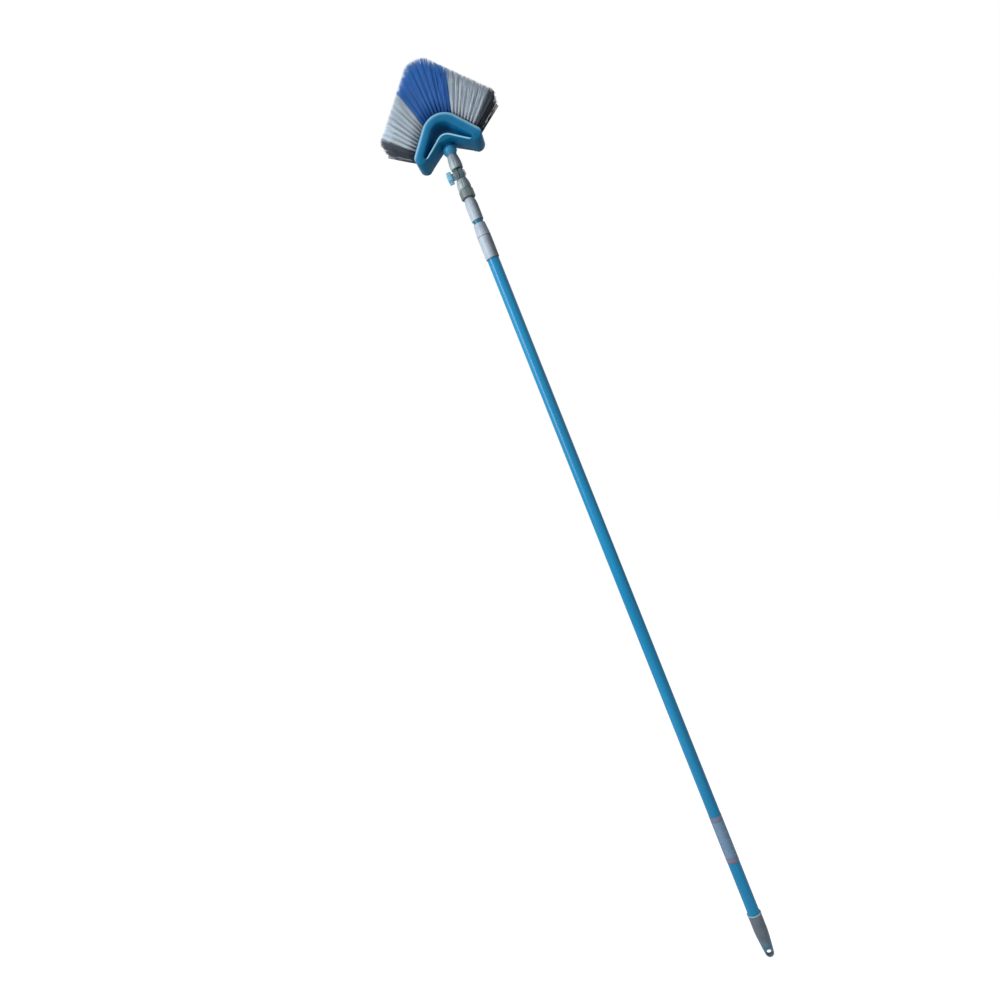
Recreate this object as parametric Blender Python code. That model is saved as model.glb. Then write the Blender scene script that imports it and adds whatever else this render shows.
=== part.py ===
"""Telescopic ceiling brush: a twist-lock pole of two tubes, a clamped knuckle, and an arched brush head.

The pole stands along +Z with the foot of its end cap at the origin. The head spreads along X and is shallow
along Y. The knuckle tilts about X, and its star knob points to -X. Lengths are in metres.
"""

import math

import bmesh
import bpy
from mathutils import Matrix, Vector

# Clearances and overlaps
SEAT_GAP = 0.0003
SWING_CLEARANCE = 0.0006
TUBE_CLEARANCE = 0.0011
OVERRUN = 0.003
JOIN_DEPTH = 0.0008
MERGE_DISTANCE = 0.00001

# Outer tube and inner tube
TUBE_DIAMETER = 0.0250
TUBE_WALL = 0.0009
TUBE_LENGTH = 1.520
INNER_TUBE_DIAMETER = TUBE_DIAMETER - 2 * (TUBE_WALL + TUBE_CLEARANCE)
INNER_TUBE_WALL = 0.0009
TUBE_SEAT_RADIUS = TUBE_DIAMETER / 2 + SEAT_GAP
INNER_TUBE_SEAT_RADIUS = INNER_TUBE_DIAMETER / 2 + SEAT_GAP

# End cap with its hanging eye
CAP_LENGTH = 0.096
CAP_SOCKET_DEPTH = 0.040
CAP_WALL = 0.0012
CAP_RIM_WALL = 0.0020
CAP_RIM_HEIGHT = 0.0045
CAP_EDGE = 0.0007
CAP_WAIST_DIAMETER = 0.0268
CAP_WAIST_SHARE = 0.3
CAP_TAIL_DIAMETER = 0.0226
CAP_TIP_DIAMETER = 0.0184
CAP_TIP_BLUNTNESS_SHARE = 0.8
CAP_FLAT_THICKNESS = 0.0110
CAP_FLAT_HEIGHT = 0.0260
EYE_WIDTH = 0.0100
EYE_HEIGHT = 0.0140
EYE_FLOOR = 0.0036

# Guide bush at the foot of the inner tube
GUIDE_COLLAR_LENGTH = 0.012
GUIDE_SPIGOT_LENGTH = 0.024
GUIDE_BORE_DIAMETER = 0.0130

# Twist lock at the top of the outer tube
LOCK_BODY_LENGTH = 0.048
LOCK_SOCKET_DEPTH = 0.036
LOCK_FOOT_WALL = 0.0014
LOCK_BELLY_WALL = 0.0016
LOCK_BELLY_SHARE = 0.6
LOCK_EDGE = 0.0008
COLLET_LENGTH = 0.018
COLLET_FOOT_WALL = 0.0018
COLLET_NOSE_WALL = 0.0006
COLLET_FOOT_SHARE = 0.3
COLLET_SLIT = 0.0024
NUT_LENGTH = 0.0275
NUT_TOP_WALL = 0.0018
NUT_SHOULDER_SHARES = ((0.72, 0.28), (0.44, 0.62), (0.20, 0.88))

# Neck adapter on top of the inner tube
BAND_LENGTH = 0.008
ADAPTER_LENGTH = 0.0488
ADAPTER_SOCKET_DEPTH = 0.0325
ADAPTER_FOOT_WALL = 0.0018
ADAPTER_BELLY_WALL = 0.0023
ADAPTER_BELLY_SHARE = 0.66
ADAPTER_NECK_WALL = 0.0030
ADAPTER_EDGE = 0.0007

# Lock ring below the knuckle
RING_DIAMETER = 0.0304
RING_HEIGHT = 0.0180
RING_CHAMFER = 0.0012
RING_LOBE_DEPTH = 0.0005

# Knuckle: two fluted barrels, each with one clamped lug
SPIGOT_DIAMETER = 0.0140
SPIGOT_ENTRY = 0.0145
LOWER_BARREL_LENGTH = 0.0222
LOWER_BARREL_FOOT_DIAMETER = 0.0264
LOWER_BARREL_BELLY_DIAMETER = 0.0284
LOWER_BARREL_NECK_DIAMETER = 0.0228
LOWER_BELLY_SHARE = 0.3
UPPER_BARREL_LENGTH = 0.0307
UPPER_BARREL_FOOT_DIAMETER = 0.0250
UPPER_BARREL_BELLY_DIAMETER = 0.0268
UPPER_BARREL_NECK_DIAMETER = 0.0212
UPPER_BELLY_SHARE = 0.25
BARREL_EDGE = 0.0009
FLUTE_DEPTH = 0.0011
FLUTE_HALF_SHARE = 0.16
LAND_SHARES = (0.38, 0.62)
LUG_DIAMETER = 0.0244
LUG_THICKNESS = 0.0095
LUG_EDGE = 0.0030
LUG_NECK_DEPTH = 0.0134
LOWER_LUG_SINK = 0.0001
UPPER_LUG_SINK = 0.0011
WASHER_THICKNESS = 0.0010
WASHER_DIAMETER = 0.0190

# Clamp bolt, washer and star knob
BOLT_DIAMETER = 0.0058
BOLT_HEAD_DIAMETER = 0.0130
BOLT_HEAD_HEIGHT = 0.0032
BOLT_RIM_SHARE = 0.25
KNOB_WASHER_DIAMETER = 0.0150
KNOB_WASHER_THICKNESS = 0.0012
KNOB_TIP_DIAMETER = 0.0276
KNOB_VALLEY_DIAMETER = 0.0204
KNOB_LOBE_ROUNDNESS_SHARE = 0.9
KNOB_HUB_DIAMETER = 0.0150
KNOB_HUB_LENGTH = 0.0032
KNOB_STAR_THICKNESS = 0.0100
KNOB_EDGE = 0.0016
KNOB_CROWN_HEIGHT = 0.0012
KNOB_CROWN_SHARE = 0.3
INSERT_ACROSS_CORNERS = 0.0106
INSERT_LENGTH = 0.0070

# Head collar and the swivel stem inside it
COLLAR_HEIGHT = 0.0156
COLLAR_DIAMETER = 0.0286
COLLAR_FOOT_WALL = 0.0017
COLLAR_BAND_HEIGHT = 0.0085
COLLAR_EDGE = 0.0010
STEM_DIAMETER = 0.0110
STEM_SOCKET_DEPTH = 0.0140
STEM_FLANGE_DIAMETER = 0.0172
STEM_FLANGE_THICKNESS = 0.0030
STEM_BORE_DEPTH = 0.0120

# Head block: an arch that carries the tufts, a strap across it, and a boss for the stem
BLOCK_DEPTH = 0.0580
BLOCK_EDGE = 0.0022
ARCH_RADIUS = 0.0460
ARCH_CROWN_HEIGHT = 0.0213
ARCH_THICKNESS = 0.0186
ARCH_SLOPE_DEG = 51.0
ARCH_LIP = 0.0030
TOE_RADIUS = 0.0145
TOE_BOTTOM_HEIGHT = -0.0615
TOE_HOOK_DEG = 200.0
TOE_WALL = 0.0078
WINDOW_CORNER_RADIUS = 0.0055
STRAP_DEPTH = 0.0530
STRAP_CROWN_RADIUS = 0.0200
STRAP_CROWN_HEIGHT = -0.0228
STRAP_SLOPE_DEG = 37.0
STRAP_ROOT_HEIGHT = -0.0345
STRAP_FOOT_LIFT = 0.0003
STRAP_EDGE = 0.0022
STRAP_EDGE_LIMIT_SHARE = 0.48
STRAP_END_SHARE = 0.18
STRAP_CROWDING_SHARE = 1.3
BOSS_DIAMETER = 0.0262
BOSS_FOOT_HEIGHT = -0.0405
BOSS_HEIGHT = 0.0136
BOSS_SKIRT = 0.0008

# Bristle pack
TUFT_COLUMNS = 28
BLUE_COLUMNS = 10
TUFT_ROWS = 5
TUFT_END_MARGIN = 0.0055
SLICE_END_MARGIN = 0.0035
ROW_END_MARGIN = 0.0033
STRANDS_PER_TUFT = 3
STRAND_DIAMETER = 0.0019
STRAND_TIP_SHARE = 0.75
TUFT_ROOT_RADIUS = 0.0017
TUFT_TIP_RADIUS = 0.0044
ROW_SPREAD_SHARE = 0.32
FAN_END_DEG = 49.0
SLICE_THICKNESS = 0.0020
PACK_HALF_WIDTH = 0.1388
PACK_SLOPE_DEG = 48.5
PACK_CROWN_HEIGHT = 0.1373
PACK_CROWN_FALL_DEG = 7.0

# How finely round forms are divided
TURN_STEPS = 32
QUARTER_STEPS = 4
BARREL_FLUTES = 8
FLUTE_STATIONS = 5
ADAPTER_STATIONS = 6
RING_LOBES = 12
POINTS_PER_RING_LOBE = 4
KNOB_LOBES = 6
KNOB_EDGE_STEPS = 2
POINTS_PER_KNOB_LOBE = 7
HEXAGON_SIDES = 6
ARC_STEP_DEG = 5.0
TOE_STEPS = 11
WINDOW_CORNER_STEPS = 7
TIP_STEPS = 7
EYE_STEPS = 10
RIM_STEPS = 2
STRAP_STATIONS = 9
STRAP_CORNER_POINTS = 3
STRAND_SIDES = 3
FULL_TURN = 2.0 * math.pi
QUARTER_TURN = math.pi / 2
SMOOTH_ANGLE_DEG = 32.0

# Heights along the pole, each worked out from the piece below it
CAP_FLOOR = CAP_LENGTH - CAP_SOCKET_DEPTH
TUBE_BOTTOM = CAP_FLOOR + SEAT_GAP
TUBE_TOP = TUBE_BOTTOM + TUBE_LENGTH
LOCK_BOTTOM = TUBE_TOP + SEAT_GAP - LOCK_SOCKET_DEPTH
NUT_BOTTOM = LOCK_BOTTOM + LOCK_BODY_LENGTH + SEAT_GAP
NUT_TOP = NUT_BOTTOM + NUT_LENGTH
GUIDE_BOTTOM = CAP_FLOOR + SEAT_GAP
INNER_TUBE_BOTTOM = GUIDE_BOTTOM + GUIDE_COLLAR_LENGTH + SEAT_GAP
ADAPTER_BOTTOM = NUT_TOP + BAND_LENGTH
INNER_TUBE_TOP = ADAPTER_BOTTOM + ADAPTER_SOCKET_DEPTH - SEAT_GAP
ADAPTER_TOP = ADAPTER_BOTTOM + ADAPTER_LENGTH
RING_BOTTOM = ADAPTER_TOP + SEAT_GAP
RING_TOP = RING_BOTTOM + RING_HEIGHT
LOWER_BARREL_BOTTOM = RING_TOP + SEAT_GAP
LOWER_BARREL_TOP = LOWER_BARREL_BOTTOM + LOWER_BARREL_LENGTH
PIVOT_HEIGHT = LOWER_BARREL_TOP + LUG_DIAMETER / 2 - LOWER_LUG_SINK
UPPER_BARREL_BOTTOM = PIVOT_HEIGHT + LUG_DIAMETER / 2 - UPPER_LUG_SINK
UPPER_BARREL_TOP = UPPER_BARREL_BOTTOM + UPPER_BARREL_LENGTH
COLLAR_BOTTOM = UPPER_BARREL_TOP + SEAT_GAP
BOSS_FOOT = COLLAR_BOTTOM + COLLAR_HEIGHT + SEAT_GAP
HEAD_ORIGIN = BOSS_FOOT - BOSS_FOOT_HEIGHT

# Places along the knuckle's bolt, counted outwards from the middle of the friction washer
LUG_INNER = WASHER_THICKNESS / 2 + SEAT_GAP
LUG_OUTER = LUG_INNER + LUG_THICKNESS
KNOB_WASHER_INNER = LUG_OUTER + SEAT_GAP
KNOB_INNER = KNOB_WASHER_INNER + KNOB_WASHER_THICKNESS + SEAT_GAP
BOLT_BORE_RADIUS = BOLT_DIAMETER / 2 + SEAT_GAP

# The arch's slope and the tufts' places, worked out from the block
ARCH_SLOPE = math.radians(ARCH_SLOPE_DEG)
ARCH_CENTRE_HEIGHT = ARCH_CROWN_HEIGHT - ARCH_RADIUS
ARCH_ROUND_RUN = ARCH_RADIUS * ARCH_SLOPE
TOE_Z = TOE_BOTTOM_HEIGHT + TOE_RADIUS
TOE_OFFSET = ARCH_RADIUS + (ARCH_CENTRE_HEIGHT - TOE_Z) * math.cos(ARCH_SLOPE)
TOE_X = (TOE_OFFSET - TOE_RADIUS) / math.sin(ARCH_SLOPE)
TOE_HOOK = math.radians(TOE_HOOK_DEG)
TOE_TIP_X = TOE_X + TOE_RADIUS * math.sin(TOE_HOOK)
TOE_TIP_Z = TOE_Z + TOE_RADIUS * math.cos(TOE_HOOK)
WINDOW_CORNER_Z = TOE_BOTTOM_HEIGHT + TOE_WALL + WINDOW_CORNER_RADIUS
WINDOW_OFFSET = ARCH_RADIUS + (ARCH_CENTRE_HEIGHT - WINDOW_CORNER_Z) * math.cos(ARCH_SLOPE) - ARCH_THICKNESS
WINDOW_CORNER_X = (WINDOW_OFFSET - WINDOW_CORNER_RADIUS) / math.sin(ARCH_SLOPE)
FACE_END_X = TOE_X + TOE_RADIUS * math.sin(ARCH_SLOPE)
FACE_HALF_RUN = ARCH_ROUND_RUN + (FACE_END_X - ARCH_RADIUS * math.sin(ARCH_SLOPE)) / math.cos(ARCH_SLOPE)
LAST_TUFT_RUN = FACE_HALF_RUN - TUFT_END_MARGIN
TUFT_PITCH = 2 * LAST_TUFT_RUN / (TUFT_COLUMNS - 1)
SLICE_HALF_DEPTH = BLOCK_DEPTH / 2 - ARCH_LIP - SEAT_GAP
LAST_ROW = SLICE_HALF_DEPTH - ROW_END_MARGIN
ROW_PITCH = 2 * LAST_ROW / (TUFT_ROWS - 1)

# Finishes: a linear colour, a roughness and a metallic value
POLE_BLUE = ((0.020, 0.235, 0.480), 0.28, 0.0)
HEAD_BLUE = ((0.016, 0.220, 0.520), 0.34, 0.0)
KNOB_BLUE = ((0.040, 0.400, 0.780), 0.36, 0.0)
SLEEVE_GREY = ((0.190, 0.200, 0.225), 0.42, 0.0)
NECK_GREY = ((0.100, 0.104, 0.118), 0.45, 0.0)
BRISTLE_BLUE = ((0.014, 0.045, 0.300), 0.50, 0.0)
BRISTLE_GREY = ((0.150, 0.160, 0.175), 0.55, 0.0)
STEEL = ((0.560, 0.565, 0.570), 0.30, 1.0)
BRASS = ((0.700, 0.500, 0.200), 0.35, 1.0)
DARK_POLYMER = ((0.030, 0.030, 0.034), 0.55, 0.0)


# Shared tools

def axis_frame(name, parent=None, height=0.0):
    """An empty on the pole's axis, at a height above its parent."""
    made = bpy.data.objects.new(name, None)
    made.empty_display_size = TUBE_DIAMETER
    made.location.z = height
    made.parent = parent
    bpy.context.scene.collection.objects.link(made)
    return made


def as_object(shape):
    """Turns a bmesh into an object whose faces point outwards."""
    bmesh.ops.recalc_face_normals(shape, faces=shape.faces)
    mesh = bpy.data.meshes.new("shape")
    shape.to_mesh(mesh)
    shape.free()
    made = bpy.data.objects.new("shape", mesh)
    bpy.context.scene.collection.objects.link(made)
    return made


def skin(shape, rings):
    """Adds a closed skin through rings of equal point counts, flat on its first and last ring."""
    loops = [[shape.verts.new(point) for point in ring] for ring in rings]
    for low, high in zip(loops, loops[1:]):
        for i in range(len(low)):
            shape.faces.new((low[i - 1], low[i], high[i], high[i - 1]))
    shape.faces.new(loops[0][::-1])
    shape.faces.new(loops[-1])


def lofted(rings):
    shape = bmesh.new()
    skin(shape, rings)
    return as_object(shape)


def extruded(outline, depth):
    """A flat outline of (x, z) points, extruded along Y and centred on the XZ plane."""
    shape = bmesh.new()
    face = shape.faces.new([shape.verts.new((x, -depth / 2, z)) for x, z in outline])
    moved = bmesh.ops.extrude_face_region(shape, geom=[face])["geom"]
    corners = [part for part in moved if isinstance(part, bmesh.types.BMVert)]
    bmesh.ops.translate(shape, verts=corners, vec=(0.0, depth, 0.0))
    return as_object(shape)


def box(low, high):
    """A box between two corners."""
    low, high = Vector(low), Vector(high)
    shape = bmesh.new()
    place = Matrix.Translation((low + high) / 2) @ Matrix.Diagonal((high - low).to_4d())
    bmesh.ops.create_cube(shape, size=1.0, matrix=place)
    return as_object(shape)


def bar(radius, start, end, turn=Matrix.Identity(4)):
    """A plain cylinder from a start to an end along Z, or along another axis where a turn is given."""
    shape = bmesh.new()
    place = turn @ Matrix.Translation((0.0, 0.0, (start + end) / 2))
    bmesh.ops.create_cone(
        shape,
        cap_ends=True,
        segments=TURN_STEPS,
        radius1=radius,
        radius2=radius,
        depth=end - start,
        matrix=place,
    )
    return as_object(shape)


def cross_bar(radius, left, right):
    """A plain cylinder along X."""
    return bar(radius, left, right, Matrix.Rotation(QUARTER_TURN, 4, "Y"))


def turned(outline):
    """A body turned about its own Z. The outline is (radius, height) down its outer side."""
    on_axis = outline[0][0] == 0.0 and outline[-1][0] == 0.0
    last = len(outline) - 1
    edges = [(i, i + 1) for i in range(last)] + ([] if on_axis else [(last, 0)])
    mesh = bpy.data.meshes.new("outline")
    mesh.from_pydata([(radius, 0.0, height) for radius, height in outline], edges, [])
    made = bpy.data.objects.new("outline", mesh)
    bpy.context.scene.collection.objects.link(made)
    screw = made.modifiers.new("turn", "SCREW")
    screw.steps = TURN_STEPS
    screw.render_steps = TURN_STEPS
    screw.use_merge_vertices = True
    screw.merge_threshold = MERGE_DISTANCE
    return made


def lay_along_x(made, direction, place=0.0):
    """Turns an object so that its own Z points along X, with the sign given, and moves it along X."""
    made.rotation_euler.y = direction * QUARTER_TURN
    made.location.x = place


def settle(made):
    """Applies an object's modifiers."""
    bpy.context.view_layer.update()
    graph = bpy.context.evaluated_depsgraph_get()
    mesh = bpy.data.meshes.new_from_object(made.evaluated_get(graph))
    made.modifiers.clear()
    made.data = mesh


def combine(made, other, operation):
    """Joins another body to this one, or cuts it away, and removes the other."""
    change = made.modifiers.new(operation.lower(), "BOOLEAN")
    change.operation = operation
    change.object = other
    change.solver = "EXACT"
    settle(made)
    bpy.data.objects.remove(other)


def cut(made, other):
    combine(made, other, "DIFFERENCE")


def fuse(made, other):
    combine(made, other, "UNION")


def soften_rims(made, width):
    """Rounds the two outlines of an extruded body, where its sides meet its front and back faces."""
    shape = bmesh.new()
    shape.from_mesh(made.data)
    front = max(corner.co.y for corner in shape.verts)
    rims = [edge for edge in shape.edges if abs(edge.verts[0].co.y + edge.verts[1].co.y) >= 2 * front]
    bmesh.ops.bevel(shape, geom=rims, offset=width, segments=RIM_STEPS, profile=0.5, affect="EDGES")
    shape.to_mesh(made.data)
    shape.free()


def finish(made, name, look, parent, height=0.0):
    """Names a finished piece, gives it its material and shading, and stands it on its parent."""
    settle(made)
    colour, roughness, metallic = look
    coat = bpy.data.materials.new(name)
    coat.use_nodes = True
    coat.diffuse_color = (*colour, 1.0)
    shader = coat.node_tree.nodes["Principled BSDF"]
    shader.inputs["Base Color"].default_value = (*colour, 1.0)
    shader.inputs["Roughness"].default_value = roughness
    shader.inputs["Metallic"].default_value = metallic
    made.name = name
    made.data.name = name
    made.data.materials.clear()
    made.data.materials.append(coat)
    made.data.shade_smooth()
    made.data.set_sharp_from_angle(angle=math.radians(SMOOTH_ANGLE_DEG))
    made.parent = parent
    made.location.z = height


def even_angles(count):
    return [FULL_TURN * i / count for i in range(count)]


def quarter(steps=QUARTER_STEPS):
    """Sine and cosine at even steps through a quarter turn, both ends included."""
    angles = [QUARTER_TURN * i / steps for i in range(steps + 1)]
    return [(math.sin(angle), math.cos(angle)) for angle in angles]


def polar_ring(height, radius_at, angles):
    return [Vector((radius_at(a) * math.cos(a), radius_at(a) * math.sin(a), height)) for a in angles]


def swelling(foot, belly, neck, belly_share, share):
    """A radius that rises from the foot to the belly and falls again to the neck."""
    if share < belly_share:
        return foot + (belly - foot) * math.sin(QUARTER_TURN * share / belly_share)
    fall = (share - belly_share) / (1.0 - belly_share)
    return neck + (belly - neck) * math.cos(QUARTER_TURN * fall)


# Pole

def tube_outline(diameter, wall, length):
    outer = diameter / 2
    bore = outer - wall
    return [(outer, length), (outer, 0.0), (bore, 0.0), (bore, length)]


def make_outer_tube(handle):
    tube = turned(tube_outline(TUBE_DIAMETER, TUBE_WALL, TUBE_LENGTH))
    finish(tube, "outer_tube", POLE_BLUE, handle, TUBE_BOTTOM)


def make_inner_tube(extension):
    tube = turned(tube_outline(INNER_TUBE_DIAMETER, INNER_TUBE_WALL, INNER_TUBE_TOP - INNER_TUBE_BOTTOM))
    finish(tube, "inner_tube", POLE_BLUE, extension, INNER_TUBE_BOTTOM)


def make_inner_guide(extension):
    """The bush at the inner tube's foot: a spigot in it, and a collar that slides in the outer tube."""
    collar = TUBE_DIAMETER / 2 - TUBE_WALL - SEAT_GAP
    spigot = INNER_TUBE_DIAMETER / 2 - INNER_TUBE_WALL - SEAT_GAP
    bore = GUIDE_BORE_DIAMETER / 2
    top = GUIDE_COLLAR_LENGTH + GUIDE_SPIGOT_LENGTH
    outline = [
        (spigot, top),
        (spigot, GUIDE_COLLAR_LENGTH),
        (collar, GUIDE_COLLAR_LENGTH),
        (collar, 0.0),
        (bore, 0.0),
        (bore, top),
    ]
    finish(turned(outline), "inner_guide", DARK_POLYMER, extension, GUIDE_BOTTOM)


def cap_outline():
    """The end cap's turned form: the socket for the tube, the rim bead, the long taper and the round tip."""
    bore = TUBE_SEAT_RADIUS
    rim = bore + CAP_RIM_WALL
    throat = bore + CAP_WALL
    tip = CAP_TIP_DIAMETER / 2
    bead_foot = CAP_LENGTH - CAP_RIM_HEIGHT
    waist_height = CAP_FLOOR - (CAP_FLOOR - CAP_FLAT_HEIGHT) * CAP_WAIST_SHARE
    outline = [
        (0.0, CAP_FLOOR),
        (bore, CAP_FLOOR),
        (bore, CAP_LENGTH),
        (rim - CAP_EDGE, CAP_LENGTH),
        (rim, CAP_LENGTH - CAP_EDGE),
        (rim, bead_foot + CAP_EDGE),
        (throat, bead_foot),
        (throat, CAP_FLOOR),
        (CAP_WAIST_DIAMETER / 2, waist_height),
        (CAP_TAIL_DIAMETER / 2, CAP_FLAT_HEIGHT),
    ]
    for rise, out in quarter(TIP_STEPS)[1:-1]:
        outline.append((tip * out ** CAP_TIP_BLUNTNESS_SHARE, tip * (1.0 - rise)))
    return outline + [(0.0, 0.0)]


def eye_outline():
    """An upright slot with round ends."""
    radius = EYE_WIDTH / 2
    low = EYE_FLOOR + radius
    high = EYE_FLOOR + EYE_HEIGHT - radius
    outline = []
    for middle, start in ((high, 0.0), (low, math.pi)):
        for i in range(EYE_STEPS + 1):
            turn = start + math.pi * i / EYE_STEPS
            outline.append((radius * math.cos(turn), middle + radius * math.sin(turn)))
    return outline


def make_end_cap(handle):
    """The cap is turned, flattened on both sides towards its tip, and pierced by the hanging eye."""
    cap = turned(cap_outline())
    reach = TUBE_SEAT_RADIUS + CAP_RIM_WALL
    flat = CAP_FLAT_THICKNESS / 2
    for near, far in ((-reach, -flat), (flat, reach)):
        cut(cap, box((-reach, near, -OVERRUN), (reach, far, CAP_FLAT_HEIGHT)))
    cut(cap, extruded(eye_outline(), 2 * reach))
    finish(cap, "end_cap", SLEEVE_GREY, handle)


# Twist lock

def make_lock_body(handle):
    """The fixed sleeve: it takes the tube's top up to a shoulder, and lets the inner tube pass."""
    foot = TUBE_SEAT_RADIUS + LOCK_FOOT_WALL
    belly = TUBE_SEAT_RADIUS + LOCK_BELLY_WALL
    top = LOCK_BODY_LENGTH
    outline = [
        (belly - LOCK_EDGE, top),
        (belly, top - LOCK_EDGE),
        (belly, top * LOCK_BELLY_SHARE),
        (foot, LOCK_EDGE),
        (foot - LOCK_EDGE, 0.0),
        (TUBE_SEAT_RADIUS, 0.0),
        (TUBE_SEAT_RADIUS, LOCK_SOCKET_DEPTH),
        (INNER_TUBE_SEAT_RADIUS, LOCK_SOCKET_DEPTH),
        (INNER_TUBE_SEAT_RADIUS, top),
    ]
    finish(turned(outline), "lock_body", SLEEVE_GREY, handle, LOCK_BOTTOM)


def make_lock_collet(handle):
    """The split ring that the nut squeezes on to the inner tube."""
    bore = INNER_TUBE_SEAT_RADIUS
    foot = bore + COLLET_FOOT_WALL
    nose = bore + COLLET_NOSE_WALL
    cone_start = COLLET_LENGTH * COLLET_FOOT_SHARE
    top = COLLET_LENGTH
    collet = turned([(nose, top), (foot, cone_start), (foot, 0.0), (bore, 0.0), (bore, top)])
    slit = COLLET_SLIT / 2
    cut(collet, box((0.0, -slit, -OVERRUN), (foot + OVERRUN, slit, top + OVERRUN)))
    finish(collet, "lock_collet", DARK_POLYMER, handle, NUT_BOTTOM)


def make_lock_nut(handle):
    """The turning sleeve above, whose cone closes on the collet."""
    bore = INNER_TUBE_SEAT_RADIUS
    foot = TUBE_SEAT_RADIUS + LOCK_BELLY_WALL
    rim = bore + NUT_TOP_WALL
    cone_foot = bore + COLLET_FOOT_WALL + SEAT_GAP
    cone_nose = bore + COLLET_NOSE_WALL + SEAT_GAP
    cone_top = COLLET_LENGTH + SEAT_GAP
    top = NUT_LENGTH
    shoulders = [(rim + (foot - rim) * out, top * up) for up, out in NUT_SHOULDER_SHARES]
    outline = [
        (rim - LOCK_EDGE / 2, top),
        (rim, top - LOCK_EDGE / 2),
        *shoulders,
        (foot, LOCK_EDGE),
        (foot - LOCK_EDGE, 0.0),
        (cone_foot, 0.0),
        (cone_foot, COLLET_LENGTH * COLLET_FOOT_SHARE + SEAT_GAP),
        (cone_nose, cone_top),
        (bore, cone_top),
        (bore, top),
    ]
    finish(turned(outline), "lock_nut", SLEEVE_GREY, handle, NUT_BOTTOM)


# Neck

def make_neck_adapter(extension):
    """The barrel-shaped plug on the inner tube: a socket below for the tube, a bore above for the spigot."""
    foot = INNER_TUBE_SEAT_RADIUS + ADAPTER_FOOT_WALL
    belly = INNER_TUBE_SEAT_RADIUS + ADAPTER_BELLY_WALL
    bore = SPIGOT_DIAMETER / 2 + SEAT_GAP
    neck = bore + ADAPTER_NECK_WALL
    top = ADAPTER_LENGTH
    outline = [(neck - ADAPTER_EDGE, top)]
    for i in range(ADAPTER_STATIONS + 1):
        share = 1.0 - i / ADAPTER_STATIONS
        height = ADAPTER_EDGE + (top - 2 * ADAPTER_EDGE) * share
        outline.append((swelling(foot, belly, neck, ADAPTER_BELLY_SHARE, share), height))
    outline += [
        (foot - ADAPTER_EDGE, 0.0),
        (INNER_TUBE_SEAT_RADIUS, 0.0),
        (INNER_TUBE_SEAT_RADIUS, ADAPTER_SOCKET_DEPTH),
        (bore, ADAPTER_SOCKET_DEPTH),
        (bore, top),
    ]
    finish(turned(outline), "neck_adapter", SLEEVE_GREY, extension, ADAPTER_BOTTOM)


def make_neck_ring(extension):
    """The lock ring, with a faintly lobed rim that gives the fingers a hold."""
    angles = even_angles(RING_LOBES * POINTS_PER_RING_LOBE)

    def rim(inset):
        outer = RING_DIAMETER / 2 - inset
        return lambda a: outer - RING_LOBE_DEPTH * (1.0 - math.cos(RING_LOBES * a)) / 2

    ring = lofted([
        polar_ring(0.0, rim(RING_CHAMFER), angles),
        polar_ring(RING_CHAMFER, rim(0.0), angles),
        polar_ring(RING_HEIGHT - RING_CHAMFER, rim(0.0), angles),
        polar_ring(RING_HEIGHT, rim(RING_CHAMFER), angles),
    ])
    cut(ring, bar(SPIGOT_DIAMETER / 2 + SEAT_GAP, -OVERRUN, RING_HEIGHT + OVERRUN))
    finish(ring, "neck_ring", NECK_GREY, extension, RING_BOTTOM)


def flute_angles():
    """Angles round a barrel: three points across each flute, and the land beside it."""
    pitch = FULL_TURN / BARREL_FLUTES
    across = (-FLUTE_HALF_SHARE, 0.0, FLUTE_HALF_SHARE, *LAND_SHARES)
    return [pitch * (flute + share) for flute in range(BARREL_FLUTES) for share in across]


def flute_dip(angle):
    """1 at the bottom of a flute, 0 on the lands."""
    pitch = FULL_TURN / BARREL_FLUTES
    from_flute = abs((angle / pitch + 0.5) % 1.0 - 0.5)
    return max(0.0, 1.0 - from_flute / FLUTE_HALF_SHARE)


def fluted_rings(bottom, length, radius_at_share):
    """Rings of a fluted barrel from its foot up. The flutes fade out at both ends."""
    angles = flute_angles()
    foot = radius_at_share(0.0) - BARREL_EDGE
    neck = radius_at_share(1.0) - BARREL_EDGE
    rings = [polar_ring(bottom, lambda a: foot, angles)]
    for i in range(FLUTE_STATIONS + 1):
        share = i / FLUTE_STATIONS
        height = bottom + BARREL_EDGE + (length - 2 * BARREL_EDGE) * share
        depth = FLUTE_DEPTH * math.sqrt(abs(math.sin(math.pi * share)))
        radius = radius_at_share(share)
        rings.append(polar_ring(height, lambda a: radius - depth * flute_dip(a), angles))
    rings.append(polar_ring(bottom + length, lambda a: neck, angles))
    return rings


def clamp_lug(side):
    """The round cheek of one half of the knuckle, on one side of the middle, with its rounded outer edge."""
    flat = LUG_DIAMETER / 2 - LUG_EDGE
    shoulder = LUG_THICKNESS - LUG_EDGE
    edge = [(flat + LUG_EDGE * out, shoulder + LUG_EDGE * up) for out, up in quarter()]
    lug = turned([(0.0, LUG_THICKNESS), *edge, (LUG_DIAMETER / 2, 0.0), (0.0, 0.0)])
    lay_along_x(lug, side, side * LUG_INNER)
    return lug


def lug_neck(side, barrel_end):
    """The web between a cheek and its barrel, from the pivot to just inside the barrel's end."""
    near, far = sorted((side * (LUG_INNER + JOIN_DEPTH / 2), side * (LUG_OUTER - LUG_EDGE / 2)))
    low, high = sorted((0.0, barrel_end + math.copysign(JOIN_DEPTH, barrel_end)))
    half = LUG_NECK_DEPTH / 2
    return box((near, -half, low), (far, half, high))


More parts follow.
